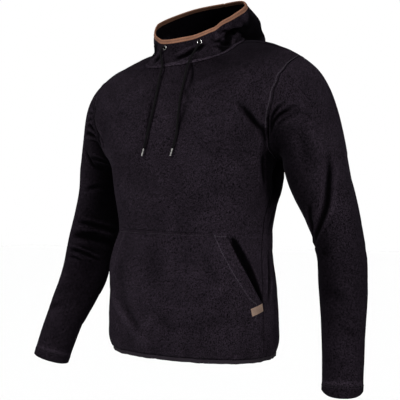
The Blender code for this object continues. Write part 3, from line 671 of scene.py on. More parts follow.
SLEEVE_CREASES = {
    "left": [
        (126, 42, 56, 5, 3, 3.0, 3.4),
        (112, 20, 60, 3, 3, 2.6, 3.0),
        (134, 60, 70, 22, 4, 4, 1.6),
        (141, 122, 24, 304, -24, 4.8, 5.0),
        (72, 214, 24, 296, -2, 4.0, 3.0),
        (66, 270, 6, 312, 3, 4.5, 1.6),
        (110, 60, 104, 140, 2, 8, 1.2),
        (186, 100, 190, 210, 3, 5, -1.2),
        (90, 306, 70, 334, 2, 10, 0.5),
        (330, 60, 30, 84, 4, 6, 3.0),
        (322, 96, 24, 122, 4, 7, 2.6),
        (214, 240, 300, 262, -4, 6, 3.0),
        (206, 286, 296, 300, -4, 6, 3.0),
        (190, 320, 262, 336, -3, 7, 1.6),
        (96, 480, 150, 496, 3, 8, 0.8),
        (30, 520, 92, 540, 4, 8, 0.4),
    ],
    "right": [
        (146, 12, 92, 1, 3, 2.4, 2.6),
        (142, 24, 86, 3, 4, 2.4, 3.0),
        (138, 36, 76, 5, 5, 2.6, 3.4),
        (132, 48, 62, 8, 5, 2.6, 3.6),
        (128, 62, 50, 18, 5, 2.8, 3.6),
        (140, 30, 80, 4, 5, 1.6, -2.0),
        (134, 43, 66, 7, 5, 1.6, -2.2),
        (130, 56, 56, 13, 5, 1.6, -2.4),
        (126, 70, 46, 22, 5, 1.8, -2.4),
        (112, 80, 74, 112, -3, 3.0, 3.0),
        (114, 74, 78, 105, -3, 2.0, -1.4),
        (96, 96, 40, 74, 3, 4, 2.6),
        (100, 176, 60, 150, 3, 5, 1.4),
        (100, 268, 60, 283, 3, 2.4, -1.6),
        (80, 281, -6, 268, 5, 2.4, -1.8),
        (96, 262, -8, 256, 4, 5, 2.6),
        (110, 300, -10, 286, 5, 8, 2.4),
        (126, 322, 10, 334, 4, 2.4, -1.6),
        (112, 332, 8, 345, 4, 3.4, 2.4),
        (104, 350, 56, 356, 3, 3, 2.2),
        (326, 64, 26, 88, 4, 6, 2.8),
        (212, 236, 300, 258, -4, 6, 2.8),
        (204, 280, 296, 296, -4, 6, 2.8),
        (70, 470, 130, 488, 3, 8, 1.2),
    ],
}
ARMHOLE_FADE = 22.0  # mm over which the folds start below the seam
CREASE_FADE = 5.0  # the same for the creases
SLEEVE_WAVES = (0.8, 5.0)  # the share of the cloth's waves, and where they start
CUFF_TILT = {  # mm that a cuff's lowest place hangs lower, its degrees, and mm that its sides rise
    "left": (14.0, 106.0, 8.5),
    "right": (9.0, 58.0, 2.0),
}
CUFF_TILT_REACH = (80.0, 34.0)  # mm above the cuff over which it hangs lower, and rises
INNER_ARM_SHADE = (46.0, 138.0)  # degrees: up to here an arm's inner side, which the body shades, takes painted shade, and from there on it doesn't
SLEEVE_SHADE = {  # painted shade all over, more on the inner side, and more below the elbow
    "left": (0.0, 0.80, 0.36),
    "right": (0.10, 0.90, 0.10),
}
INNER_ARM_SHADE_FADE = (1.35, 480.0, 0.25)  # the inner side's painted shade at the armhole, the mm that take off 1, and the least
LOWER_ARM_SHADE = (180.0, 150.0)  # mm below the armhole where more painted shade starts, and mm until it is full
CUFF_HEM = 20.0  # mm turned up
CUFF_HEM_INSIDE = 1.0 * MM  # thicker there
CUFF_STITCH = (1.6, 0.8, 1.5)  # mm wide and deep, the stitching's groove, and mm below the hem's top
CUFF_LIGHT = (0.75, 3.2, 1.0)  # painted highlight beside it, mm wide, and mm above the hem's top
CUFF_SWELL = (0.7, 0.8)  # mm that the doubled cloth stands out, and mm over which it starts
SIDES = {"left": 1.0, "right": -1.0}

SLEEVE = table_columns(SLEEVE_COLUMNS, SLEEVE_SECTIONS, ("along", "turn"))


def armhole_ring():
    """The wearer's left armhole as one ring, with its normals and the ways out of the panels."""
    level = armhole_levels()
    levels = np.concatenate([level, level[-2:0:-1]])
    front, back = panel_edge(level, 0), panel_edge(level, 1)
    ring, normals = faced(body_point, levels, np.concatenate([front, back[-2:0:-1]]))
    along = np.roll(ring, -1, axis=0) - np.roll(ring, 1, axis=0)
    return ring, normals, unit(np.cross(along, normals))


def before(value, width):
    """1 well below 0 and 0 well above it, with a soft step of the width between them."""
    return 1 / (1 + np.exp(np.minimum(value / width, 50)))


def arm_ring(along, count):
    """One section of the sleeve with count points, from its inner side round its front."""
    at = np.array([along - 1e-3, along, along + 1e-3]).clip(0, 1)
    centre = np.stack([through(SLEEVE["along"], SLEEVE[k], at) for k in "xyz"], axis=-1)
    down = unit(centre[2] - centre[0])
    forward = unit(np.cross(down, [1.0, 0.0, 0.0]))
    out = np.cross(forward, down)
    across, deep, turn = (through(SLEEVE["along"], SLEEVE[k], along) for k in ("across", "deep", "turn"))
    turn = math.radians(float(turn))
    wide = out * math.cos(turn) - forward * math.sin(turn)
    fore = forward * math.cos(turn) + out * math.sin(turn)
    around = np.linspace(0, 2 * math.pi, count, endpoint=False)[:, None] - turn
    return centre[1] - across * np.cos(around) * wide + deep * np.sin(around) * fore, down


def sleeve_grid():
    """The wearer's left sleeve, smooth: rings from the armhole to the cuff, and their normals."""
    start, seam_normals, leave = armhole_ring()
    count = len(start)
    start = start + leave * SEAM_GAP
    end, down = arm_ring(0.0, count)
    reach = np.linalg.norm(end - start, axis=1, keepdims=True)
    rings = []
    for w in np.linspace(0, 1, CAP_ROWS + 1)[:-1]:
        rings.append(
            (2 * w**3 - 3 * w**2 + 1) * start
            + (w**3 - 2 * w**2 + w) * leave * reach * CAP_PULL[0]
            + (3 * w**2 - 2 * w**3) * end
            + (w**3 - w**2) * down * reach * CAP_PULL[1]
        )
    rings += [arm_ring(along, count)[0] for along in np.linspace(0, 1, ARM_ROWS + 1)]
    rings = np.array(rings)
    around = np.roll(rings, -1, axis=1) - np.roll(rings, 1, axis=1)
    normals = unit(np.cross(around, np.gradient(rings, axis=0)))
    if ((rings - rings.mean(axis=1, keepdims=True)) * normals).sum() < 0:
        normals = -normals
    normals[0] = seam_normals
    return rings, normals


SLEEVES = {}
rings, normals = sleeve_grid()
steps = np.linalg.norm(np.diff(rings, axis=0), axis=-1).mean(axis=1) / MM
down = np.concatenate([[0], np.cumsum(steps)])[:, None]
to_cuff = down[-1] - down
degrees = np.linspace(0, 360, rings.shape[1], endpoint=False)[None, :]
for side, out in SIDES.items():
    mirror = np.array([out, 1.0, 1.0])
    set_in = ramp(down, 0, ARMHOLE_FADE)
    broad = sunk(SLEEVE_FOLDS[side], degrees, down, SLEEVE_ROUND) * set_in
    sharp = sunk(SLEEVE_CREASES[side], degrees, down, SLEEVE_ROUND, SIDE_CREASES)
    sharp = sharp * ramp(down, 0, CREASE_FADE)
    share, offset = SLEEVE_WAVES
    shift = share * wave_cloth(rings * mirror + offset) * set_in - broad - sharp
    shift = shift - SEAM_SINK[0] * MM * bell(down, SEAM_SINK[1])
    shift = shift + CUFF_SWELL[0] * MM * before(to_cuff - CUFF_HEM, CUFF_SWELL[1])
    wide, deep, below = CUFF_STITCH
    shift = shift - deep * MM * bell(to_cuff - CUFF_HEM + below, wide)
    cloth = rings + normals * shift[..., None]
    lowered, lowest, raised = CUFF_TILT[side]
    from_lowest = np.radians(degrees - lowest)
    hang, rise = (ramp(to_cuff, reach, -reach) ** 2 for reach in CUFF_TILT_REACH)
    cloth[..., 2] += (raised * np.sin(from_lowest) ** 4 * rise - lowered * np.cos(from_lowest) * hang) * MM
    thick = FLEECE_THICKNESS + CUFF_HEM_INSIDE * (to_cuff < CUFF_HEM)
    inner = cloth - normals * thick[..., None]
    # Painted shade on the arm's inner side and below the elbow.
    start, end = INNER_ARM_SHADE
    flat = ramp(np.abs(half_turn(degrees)), end, start - end)
    most, per_share, least = INNER_ARM_SHADE_FADE
    flat = flat * flat * (3 - 2 * flat) * np.clip(most - down / per_share, least, 1)
    # A painted highlight just above the cuff's stitching.
    light, wide, above = CUFF_LIGHT
    stitch_light = light * bell(to_cuff - CUFF_HEM - above, wide)
    all_over, inside, low = SLEEVE_SHADE[side]
    flat = all_over + inside * flat + low * ramp(down, *LOWER_ARM_SHADE)
    painted_shade = fold_shade(broad, sharp) + flat - stitch_light
    sleeve = cloth_wall(f"sleeve_{side}_of_fleece", cloth * mirror, inner * mirror, FLEECE, True, painted_shade)
    dress(sleeve, "fleece", f"sleeve_{side}")
    SLEEVES[side] = (cloth * mirror, normals * mirror)


# ---- The hood ------------------------------------------------------------------------------------
# One piece of fleece seamed down its centre back. Its front stands round the neck, and behind the
# neck it falls back into a pouch, with its face edge on top.
HOOD_COLUMNS = BODY_COLUMNS.replace("level", "along") + " lift"
HOOD_LOOPS = [  # along: 0 neck seam, 1 face edge; the rest as in the body's loops
    (0.00, 95, -85, 15, 88, -55, -5, 28, 0.18, 0.00, 10, 0),
    (0.08, 93.5, -86, 15, 94, -49, 3, 42, 0.16, 0.00, 9, 0),
    (0.18, 89, -87, 16, 110, -43, 11.5, 46, 0.12, 0.00, 7, 0),
    (0.32, 82.5, -88, 19, 132, -37, 18, 8, 0.06, 0.06, 4, 6),
    (0.46, 84, -88, 23, 158, -31, 22, -36, 0.02, 0.12, 1, 8),
    (0.58, 93, -87, 27, 190, -27, 26, -36, -0.02, 0.16, 0, 5),
    (0.74, 106, -86, 30, 206, -23, 33, 24, -0.08, 0.14, 0, 2),
    (0.88, 110, -85, 27, 186, -18, 46, 84, -0.10, 0.05, 0, 0),
    (1.00, 108, -84, 20, 135, -12, 60, 119, -0.09, -0.06, 0, 0),
]
POUCH_ANGLES = (45.0, 92.0)  # degrees, from the stand's shape to the pouch's
POUCH_CREASES_FROM = (100.0, 25.0)  # degrees, and degrees until they are full
HOOD_ROWS = 110
HOOD_HALF_COLUMNS = 100
STAND_HEIGHT = 50.0  # mm, the stand's height that its creases are given in
STAND_ROUND = 1.5  # mm for each degree
STAND_SIDE_CREASES = 0.45
STAND_VALLEY = [(56, 3, 126, 50, 0, 8.5, 8.0)]
STAND_CREASES = [
    (38, 31, 2, 9, 1, 4.6, 4.4),
    (-34, 36, -60, 22, 0, 12.0, 6.5),
    (48, 28, 62, 12, 2, 2.6, 3.2),
    (60, 13, 76, 3, 2, 2.4, 3.0),
    (56, 20, 74, 8, 3, 2.6, -1.8),
    (50, 46, 55, 27, -2, 4.0, -1.6),
    (67, 11, 104, 46, -2.5, 6.0, 4.0),
    (86, 10, 120, 36, 2, 5.0, 6.0),
    (78, 2, 112, 20, 2, 4.0, -2.0),
    (58, 40, 72, 20, 2, 3.0, 2.4),
    (84, 42, 104, 30, -2, 3.0, 2.4),
    (46, 22, 60, 4, 2, 3.0, 1.8),
    (24, 30, 16, 6, -2, 4.0, 1.8),
    (-18, 34, -34, 4, 2, 4.0, 3.0),
    (-52, 42, -62, 10, 2, 4.0, 2.8),
    (-66, 16, -100, 40, 3, 4.6, 4.6),
    (-82, 14, -120, 34, 3, 4.2, 4.6),
    (78, 46, 112, 38, -3, 4.0, 1.8),
    (-80, 46, -112, 38, 3, 4.0, 1.8),
]
POUCH_LENGTH = 350.0  # mm from the neck seam to the face edge at the centre back
POUCH_ROUND = 1.8
POUCH_SIDE_CREASES = 0.35
POUCH_CREASES = [
    (128, 205, 168, 250, 6, 12, 4.0),
    (-126, 210, -166, 246, -6, 12, 4.0),
    (138, 180, 176, 196, 6, 10, 3.0),
    (-140, 184, -174, 200, -6, 10, 3.0),
    (118, 262, 150, 300, 5, 10, 2.6),
    (-116, 256, -148, 296, -5, 10, 2.6),
    (160, 286, 172, 330, 3, 9, 1.6),
    (-158, 280, -174, 326, -3, 9, 1.6),
]
# Waves of the face edge: degrees, degrees wide and mm high.
RIM_WAVES = [(49, 5, -1.6), (60, 6, 1.4), (22, 9, -0.7), (-48, 7, -1.2), (-72, 9, 1.0), (104, 12, 1.0)]
HOOD_WAVES = (0.8, 9.0)  # the share of the cloth's waves, and where they start
HOOD_FREE = (1.0, ("along", 0, 0.15), ("along", 1, -0.08))  # away from the neck seam and the face tape
HOOD_SHADE = (1.5, 0.34, 0.34, 0.85)  # painted shade: by its creases, all over, more behind, and on its inner face
BACK_SEAM = (1.4, 2.6)  # mm deep and wide
HOOD = table_columns(HOOD_COLUMNS, HOOD_LOOPS, ("along", "square_front", "square_back"))


def hood_point(along, angle):
    """The hood's smooth outer face: a straight stand in front, which turns into the pouch."""
    along, angle = matched(along, angle)
    foot, edge = (loop_points(HOOD, "along", np.full_like(angle, end), angle) for end in (0.0, 1.0))
    stand = foot + (edge - foot) * along[..., None]
    start, full = np.radians(POUCH_ANGLES)
    share = np.clip((np.arccos(np.cos(angle)) - start) / (full - start), 0, 1)[..., None]
    share = share * share * (3 - 2 * share)
    return stand + (loop_points(HOOD, "along", along, angle) - stand) * share


hood_point.top = 1.0


def hood_cloth(along, angle):
    """The hood's outer face with its creases, its smooth normals and its painted shade."""
    along, angle = matched(along, angle)
    base, normals = faced(hood_point, along, angle)
    degrees = half_turn(np.degrees(angle))
    behind = ramp(np.abs(degrees), *POUCH_CREASES_FROM)
    up = along * STAND_HEIGHT
    sharp = sunk(STAND_CREASES, degrees, up, STAND_ROUND, STAND_SIDE_CREASES) * (1 - behind)
    sharp = sharp + sunk(STAND_VALLEY, degrees, up, STAND_ROUND)
    up = along * POUCH_LENGTH
    sharp = sharp + sunk(POUCH_CREASES, degrees, up, POUCH_ROUND, POUCH_SIDE_CREASES) * behind
    # Painted shade in the hood's creases, all over it, and more on the pouch behind.
    by_creases, all_over, more_behind, _ = HOOD_SHADE
    painted_shade = fold_shade(0, by_creases * sharp) + all_over + more_behind * behind
    share, offset = HOOD_WAVES
    shift = patch({"along": along}, *HOOD_FREE) * share * wave_cloth(base + offset) - sharp
    shift = shift - BACK_SEAM[0] * MM * bell((180 - np.abs(degrees)) * POUCH_ROUND, BACK_SEAM[1])
    lift = sum(high * bell(degrees - at, wide) for at, wide, high in RIM_WAVES)
    points = base + normals * shift[..., None]
    points[..., 2] += lift * MM * ramp(along, 0.5, 0.5)
    return points, normals, painted_shade


hood_angles = np.linspace(-math.pi, math.pi, 2 * HOOD_HALF_COLUMNS, endpoint=False)
along, around = np.meshgrid(np.linspace(0, 1, HOOD_ROWS + 1), hood_angles, indexing="ij")
outer, normals, painted_shade = hood_cloth(along, around)
inner = outer - normals * FLEECE_THICKNESS
hood = cloth_wall("hood_of_fleece", outer, inner, FLEECE, True, painted_shade, inside=HOOD_SHADE[3])
dress(hood, "fleece", "hood")


# ---- The neck band -------------------------------------------------------------------------------
# The neck seam's allowance is turned down on to the body, covered with a strip of the fleece and
# stitched along both its edges, which leaves a raised band all round the neck.
ROUND_STEPS = 360
GROOVE_SHARE = 0.17  # half the groove of a tape's stitching, as a share of the tape's width
BAND_CLEAR = 0.15  # mm between the body and the band
BAND_LIGHT = -0.6  # painted light, so that the raised band is pale


def tape_section(width, height, count, groove=0.0, flat=0.5):
    """The rounded section of a tape as pairs across and out, with a groove along its outer face."""
    turn = np.linspace(0, 2 * math.pi, count, endpoint=False)
    across = np.sign(np.cos(turn)) * np.abs(np.cos(turn)) ** flat * width / 2
    out = np.sign(np.sin(turn)) * np.abs(np.sin(turn)) ** flat * height / 2
    dent = groove * np.exp(-((across / (width * GROOVE_SHARE)) ** 4))
    return across, np.where(out > 0, out - dent, out + dent)


def swept_tape(name, middle, across_way, out_way, section, material):
    """A tape as a closed ring: its section carried round the middle line."""
    across, out = (share[None, :, None] for share in section)
    points = middle[:, None] + across_way[:, None] * across + out_way[:, None] * out
    rows, count = points.shape[:2]
    faces = np.array(grid_faces(rows + 1, count, True)) % (rows * count)
    return add_piece(name, points, faces.tolist(), material)


def neck_row(down):
    """The body's cloth all round the neck, that many mm below the neck seam."""
    return body_cloth(np.full(ROUND_STEPS, body_point.top - down / SHOULDER_LENGTH), angles)


angles = np.linspace(-math.pi, math.pi, ROUND_STEPS, endpoint=False)
middle, band_normals, _ = neck_row(NECK_BAND_DOWN)
below, above = (neck_row(NECK_BAND_DOWN + step)[0] for step in (3.0, -3.0))
middle = middle + band_normals * (NECK_BAND[1] / 2 + BAND_CLEAR) * MM
band = swept_tape(
    "neck_band_of_fleece",
    middle,
    unit(above - below),
    band_normals,
    tape_section(NECK_BAND[0] * MM, NECK_BAND[1] * MM, 18, flat=0.75),
    FLEECE,
)
# The whole neck band takes painted light.
paint_light_and_shade(band, np.full(len(band.data.vertices), BAND_LIGHT))
dress(band, "fleece", "neck_band")


# ---- The hood's binding --------------------------------------------------------------------------
# A tan woven tape, folded over the hood's face edge and sewn along its middle.
FACE_TAPE = (10.0, 3.8)  # mm high and thick
FACE_TAPE_GROOVE = 0.45 * MM
FACE_TAPE_REACH = 0.03  # along the hood, the stretch whose way the tape follows
FACE_TAPE_SHADE = (0.75, 1.7, 0.70)  # painted shade in its stitched groove, mm half wide, and on its inner face
TAPE_OVERLAP = 1.0  # mm of cloth held in a tape
TAPE_RIBS = (2, 0.2, 0.72, 1.24)  # a grain without its scale
TAPE_DYE = (60, 3, 0.2, 0.85, 1.12)
TAPE_SHINE = 0.06
TAPE_BUMPS = [(0.6, 0.3)]
# From no painted shade to full, and the shares of the colour there.
TAPE_SHADE_RANGE = (0.0, 1.0, 1.0, 0.5)
TAN = (0.140, 0.067, 0.042)


def tape_material(name, colour, roughness, ribs):
    """A woven tape: fine ribs across it, a little uneven dye, and painted shade where the piece carries it.
    """
    grains = [(ribs, *TAPE_RIBS), TAPE_DYE]
    return cloth_material(name, colour, roughness, TAPE_SHINE, grains, TAPE_BUMPS, TAPE_SHADE_RANGE)[0]


def folded_over(edge, normals, beyond, height):
    """The middle line of a tape that is folded over a raw edge and reaches beyond it."""
    return edge + beyond * (height / 2 - TAPE_OVERLAP) * MM - normals * FLEECE_THICKNESS / 2


edge, edge_normals, _ = hood_cloth(hood_point.top, angles)
inside_edge = hood_cloth(1 - FACE_TAPE_REACH, angles)[0]
rise = unit(edge - inside_edge)
section = tape_section(FACE_TAPE[0] * MM, FACE_TAPE[1] * MM, 36, FACE_TAPE_GROOVE, 0.55)
face_tape = swept_tape(
    "face_tape",
    folded_over(edge, edge_normals, rise, FACE_TAPE[0]),
    rise,
    edge_normals,
    section,
    tape_material("tan_tape", TAN, roughness=0.8, ribs=900),
)
# Painted shade along the tape's stitched groove and on its inner face.
stitch_shade, wide, inner_face_shade = FACE_TAPE_SHADE
painted_tone = stitch_shade * np.exp(-((section[0] / MM / wide) ** 4)) + inner_face_shade * (section[1] < 0)
paint_light_and_shade(face_tape, np.tile(painted_tone, len(edge)))
dress(face_tape, "face_tape", "hood_binding")


# ---- The hem -------------------------------------------------------------------------------------
# A narrow black elastic tape is folded over the raw hem and sewn, and draws the body in a little.
HEM_TAPE = (8.5, 3.2)  # mm high and thick
HEM_TAPE_GROOVE = 0.3 * MM
HEM_TAPE_LEAN = 0.12  # how far it leans in, for 1 down
HEM_BLACK = (0.0092, 0.0070, 0.0096)
hem_angles = np.linspace(-math.pi, math.pi, 2 * ROUND_STEPS, endpoint=False)
edge, edge_normals, _ = body_cloth(0, hem_angles)
down_way = unit(np.array([0.0, 0.0, -1.0]) - edge_normals * HEM_TAPE_LEAN)
hem_tape = swept_tape(
    "hem_tape",
    folded_over(edge, edge_normals, down_way, HEM_TAPE[0]),
    -down_way,
    edge_normals,
    tape_section(HEM_TAPE[0] * MM, HEM_TAPE[1] * MM, 18, HEM_TAPE_GROOVE, 0.6),
    tape_material("black_tape", HEM_BLACK, roughness=0.85, ribs=700),
)
dress(hem_tape, "hem_tape", "hem_binding")


# ---- The pouch pocket ----------------------------------------------------------------------------
# One piece of fleece laid on the front and sewn along its top, its foot and its short sides. Its two
# slanted sides are faced, stitched and open for the hands.
# Levels of the body: the pocket's foot, the foot of its hand openings, and its top.
POCKET_FOOT = 0.012
POCKET_OPENING = 0.285
POCKET_TOP = 0.635
POCKET_RISE = 410.0  # mm up for one level
POCKET_TOP_ANGLE = 44.5
POCKET_TILT = 0.014
POCKET_BOW = 0.65
POCKET_MARGIN = math.radians(0.6)  # in from the side seam
POCKET_BULGE = 8.0 * MM
POCKET_GAPE = 12.0 * MM
LAID_GAP = 0.6 * MM
POCKET_STEPS = (176, 44, 60)  # across, up to the openings, and beside them
POCKET_CREASES = [
    (-32, -545, -16, -622, 4, 9, 2.2),
    (13, -608, 34, -536, -5, 10, 2.0),
    (27, -604, 43, -570, 3, 9, 1.6),
    (-6, -556, 8, -616, 4, 12, 1.6),
    (-40, -470, -30, -560, 4, 14, 2.0),
    (30, -440, 40, -520, -5, 14, 1.8),
    (-12, -430, -2, -520, 5, 20, 1.8),
    (-56, -516, -8, -646, 0, 8, -2.2),
    (48, -494, 10, -622, 0, 8, -2.2),
    (-20, -640, 4, -560, 6, 9, -1.4),
]
POCKET_SIDE_CREASES = 0.3
POCKET_FREE = (1.0, ("level", POCKET_FOOT, 0.05), ("level", POCKET_TOP, -0.03))
POCKET_WAVES = 3.0  # where its waves start
POCKET_CREASE_SHADE = 0.6  # its creases' share in its painted shade
FACING = 26.0  # mm from the opening to the facing's stitching
FACING_GROOVE = (1.5, 0.8)  # mm wide and deep
FACING_SWELL = 0.6  # mm that the doubled cloth stands out
FACING_FADE = (0.02, 1.5)  # in levels above the opening's foot, and in mm across its stitching
FACING_PAINTED_LIGHT = (0.10, 0.45)  # painted light on the facing, and how much more on the top's stitching
FACING_LIGHT = (0.45, 2.8)  # painted highlight along the stitching, and mm wide
TOP_EDGE = (2.2, 0.9)  # mm wide and deep, where the top edge turns in
TOP_ROW = (7.0, 1.6, 0.5)  # mm down to the top's stitching, and its groove
TOP_SHADE = (0.55, 0.15)  # painted shade at the turned-in top edge, and on its stitching
POCKET_ROUND = 0.8  # its middle and its lips bulge as this power of a half wave
POCKET_SIDES = (5, 8)  # powers that keep the lips' gape, and the seams' hold, to its sides


def pocket_half_angle(level):
    """Half the pocket's width at a level, as an angle from the centre front."""
    slope = ramp(level, POCKET_OPENING, POCKET_TOP - POCKET_OPENING)
    low_angle = panel_edge(POCKET_OPENING, 0) - POCKET_MARGIN
    slanted = low_angle + (math.radians(POCKET_TOP_ANGLE) - low_angle) * slope**POCKET_BOW
    return np.where(level > POCKET_OPENING, slanted, panel_edge(level, 0) - POCKET_MARGIN)


def pocket_half_width(level):
    """The same in mm."""
    return np.degrees(pocket_half_angle(level)) * BODY_ROUND


def pocket_stand_off(across, level):
    """How far the pocket's inner face stands off the front panel."""
    up = ramp(level, POCKET_FOOT, POCKET_TOP - POCKET_FOOT)
    slant = ramp(level, POCKET_OPENING, POCKET_TOP - POCKET_OPENING)
    middle = POCKET_BULGE * np.sin(math.pi * up) ** POCKET_ROUND
    lip = POCKET_GAPE * np.sin(math.pi * slant) ** POCKET_ROUND
    side = np.abs(across) ** POCKET_SIDES[0]
    return LAID_GAP + middle * (1 - side) + lip * side


def pocket_cloth(across, level):
    """The pocket's outer face with its creases and stitched lines, its normals and its painted shade."""
    across, level = matched(across, level)
    place = level - POCKET_TILT * across * level / POCKET_TOP
    angle = across * pocket_half_angle(level)
    base, normals = faced(body_point, place, angle)
    degrees, height = np.degrees(angle), base[..., 2] / MM
    free = patch({"level": level}, *POCKET_FREE) * (1 - np.abs(across) ** POCKET_SIDES[1])
    sharp = free * sunk(POCKET_CREASES, degrees, height, BODY_ROUND, POCKET_SIDE_CREASES)
    pucker = hem_pucker(degrees, height)
    off = pocket_stand_off(across, level) + FLEECE_THICKNESS - sharp
    off = off + free * wave_cloth(base + POCKET_WAVES)
    off = off + HEM_PUCKER[0] * MM * pucker
    inwards = (1 - np.abs(across)) * pocket_half_width(level) - FACING
    slanted = ramp(level, POCKET_OPENING, FACING_FADE[0])
    groove = FACING_GROOVE[1] * bell(inwards, FACING_GROOVE[0])
    off = off + slanted * MM * (FACING_SWELL * before(inwards, 1.0) - groove)
    from_top = (POCKET_TOP - level) * POCKET_RISE
    edge = bell(from_top, TOP_EDGE[0])
    row = bell(from_top - TOP_ROW[0], TOP_ROW[1])
    off = off - TOP_EDGE[1] * MM * edge - TOP_ROW[2] * MM * row
    facing = slanted * before(inwards, FACING_FADE[1])
    # Painted shade in the creases and along the top, painted light on the puckers' crests, the facing and
    # its stitching.
    painted_shade = fold_shade(0, POCKET_CREASE_SHADE * sharp) - PUCKER_LIGHT * pucker
    painted_shade = painted_shade - FACING_LIGHT[0] * slanted * bell(inwards, FACING_LIGHT[1])
    painted_shade = painted_shade + TOP_SHADE[0] * edge * (1 - facing) + TOP_SHADE[1] * row
    painted_shade = painted_shade - facing * (FACING_PAINTED_LIGHT[0] + FACING_PAINTED_LIGHT[1] * row)
    return base + normals * off[..., None], normals, painted_shade


columns, rows_low, rows_high = POCKET_STEPS
below = np.linspace(POCKET_FOOT, POCKET_OPENING, rows_low + 1)[:-1]
levels = np.concatenate([below, np.linspace(POCKET_OPENING, POCKET_TOP, rows_high + 1)])
level, across = np.meshgrid(levels, np.linspace(-1, 1, columns + 1), indexing="ij")
outer, normals, painted_shade = pocket_cloth(across, level)
inner = outer - normals * FLEECE_THICKNESS
pocket = cloth_wall("pocket_of_fleece", outer, inner, FLEECE, painted_shade=painted_shade)
dress(pocket, "fleece", "pocket")


# ---- The label -----------------------------------------------------------------------------------
# A small plain woven label, folded over the pocket's side under the left hand opening.
LABEL_THICKNESS = 0.9 * MM
# Each pair is mm in from the pocket's side, and mm down from its opening.
LABEL_CORNER = (5.5, 0.2)
LABEL_RUN = (37.0, 9.0)
LABEL_DROP = (-5.0, 14.5)
LABEL_STEPS = (45, 25)
LABEL_RIM = (0.55, 0.8)  # its share of the thickness, and mm over which it thickens
LABEL_GROOVE = (2.2, 0.5, 0.25 * MM)  # mm in from the rim, mm wide, and its depth
BROWN = (0.128, 0.087, 0.067)


def run_along(points):
    """How far along a line each of its points lies."""
    return np.concatenate([[0], np.cumsum(np.linalg.norm(np.diff(points, axis=0), axis=1))])


def label_grid(steps_in, steps_down):
    """The label's under face on the pocket, with its normals and its shares in and down."""
    edge = pocket_cloth(1, np.array([POCKET_FOOT, POCKET_OPENING]))[0]
    per_level = run_along(edge)[-1] / (POCKET_OPENING - POCKET_FOOT)
    half_pocket = run_along(pocket_cloth(np.linspace(0, 1, 9), POCKET_OPENING)[0])[-1]
    share_in, share_down = np.meshgrid(np.linspace(0, 1, steps_in), np.linspace(1, 0, steps_down))
    step_in, step_down = (
        (LABEL_CORNER[k] + LABEL_RUN[k] * share_in + LABEL_DROP[k] * share_down) * MM for k in (0, 1)
    )
    points, normals, _ = pocket_cloth(1 - step_in / half_pocket, POCKET_OPENING - step_down / per_level)
    return points + normals * LAID_GAP, normals, share_in, share_down


under, normals, share_in, share_down = label_grid(*LABEL_STEPS)
rim_in = np.minimum(share_in, 1 - share_in) * np.hypot(*LABEL_RUN)
rim_down = np.minimum(share_down, 1 - share_down) * np.hypot(*LABEL_DROP)
rim = np.minimum(rim_in, rim_down)
least, slope = LABEL_RIM
in_from_rim, wide, deep = LABEL_GROOVE
full = LABEL_THICKNESS * (least + (1 - least) * ramp(rim, 0, slope)) - deep * bell(rim - in_from_rim, wide)
weave = tape_material("brown_label", BROWN, roughness=0.7, ribs=1400)
label = cloth_wall("woven_label", under + normals * full[..., None], under, weave)
dress(label, "label", "label")


# ---- The eyelets ---------------------------------------------------------------------------------
# Two nickel eyelets, clenched through the hood's front, one for each cord.
EYELETS = {"left": (30.5, 0.77), "right": (-14.5, 0.81)}  # degrees from the centre front, and along
EYELET_RING = 4.2 * MM
EYELET_WIRE = 1.0 * MM
EYELET_OFF = 0.4 * MM  # off the cloth
EYELET_SIDES = 48
NICKEL_COLOUR = (0.27, 0.264, 0.255)
NICKEL = new_material("nickel", NICKEL_COLOUR, roughness=0.22, metallic=1.0)[0]


def eyelet_frame(side):
    """Where a cord leaves the hood's front: the place, and the way out of the cloth."""
    degrees, up = EYELETS[side]
    angle, at = np.array([math.radians(degrees)]), np.array([up])
    places, ways = faced(hood_point, at, angle)
    return places[0], ways[0]


def turned_piece(name, profile, vertices, material, place, way, capped=True):
    """A turned piece: a circle drawn out and drawn in along way, from pairs of height and radius."""
    bpy.ops.object.select_all(action="DESELECT")
    fill = "NGON" if capped else "NOTHING"
    bpy.ops.mesh.primitive_circle_add(vertices=vertices, radius=profile[0][1], fill_type=fill)
    made = bpy.context.object
    made.name = made.data.name = name
    bpy.ops.object.mode_set(mode="EDIT")
    bpy.ops.mesh.select_mode(type="EDGE")
    bpy.ops.mesh.select_all(action="SELECT")
    for (low_end, before), (high_end, after) in zip(profile[:-1], profile[1:]):
        bpy.ops.mesh.extrude_edges_move(TRANSFORM_OT_translate={"value": (0, 0, high_end - low_end)})
        bpy.ops.transform.resize(value=(after / before, after / before, 1), center_override=(0, 0, high_end))
    if capped:
        bpy.ops.mesh.fill()
    bpy.ops.mesh.select_all(action="SELECT")
    bpy.ops.mesh.remove_doubles(threshold=1e-6)
    bpy.ops.mesh.normals_make_consistent(inside=False)
    bpy.ops.object.mode_set(mode="OBJECT")
    turn = Vector(way).to_track_quat("Z", "Y").to_matrix().to_4x4()
    made.data.transform(Matrix.Translation(Vector(place)) @ turn)
    made.matrix_world = Matrix.Identity(4)
    made.data.materials.clear()
    made.data.materials.append(material)
    made.data.shade_smooth()
    return made


steps = np.linspace(0, 2 * math.pi, 17)
profile = [(EYELET_WIRE * (1 + 0.75 * math.sin(t)), EYELET_RING - EYELET_WIRE * math.cos(t)) for t in steps]
for side in EYELETS:
    place, way = eyelet_frame(side)
    place = place + way * EYELET_OFF
    ring = turned_piece(f"eyelet_ring_{side}", profile, EYELET_SIDES, NICKEL, place, way, capped=False)
    dress(ring, "nickel", f"eyelet_{side}")


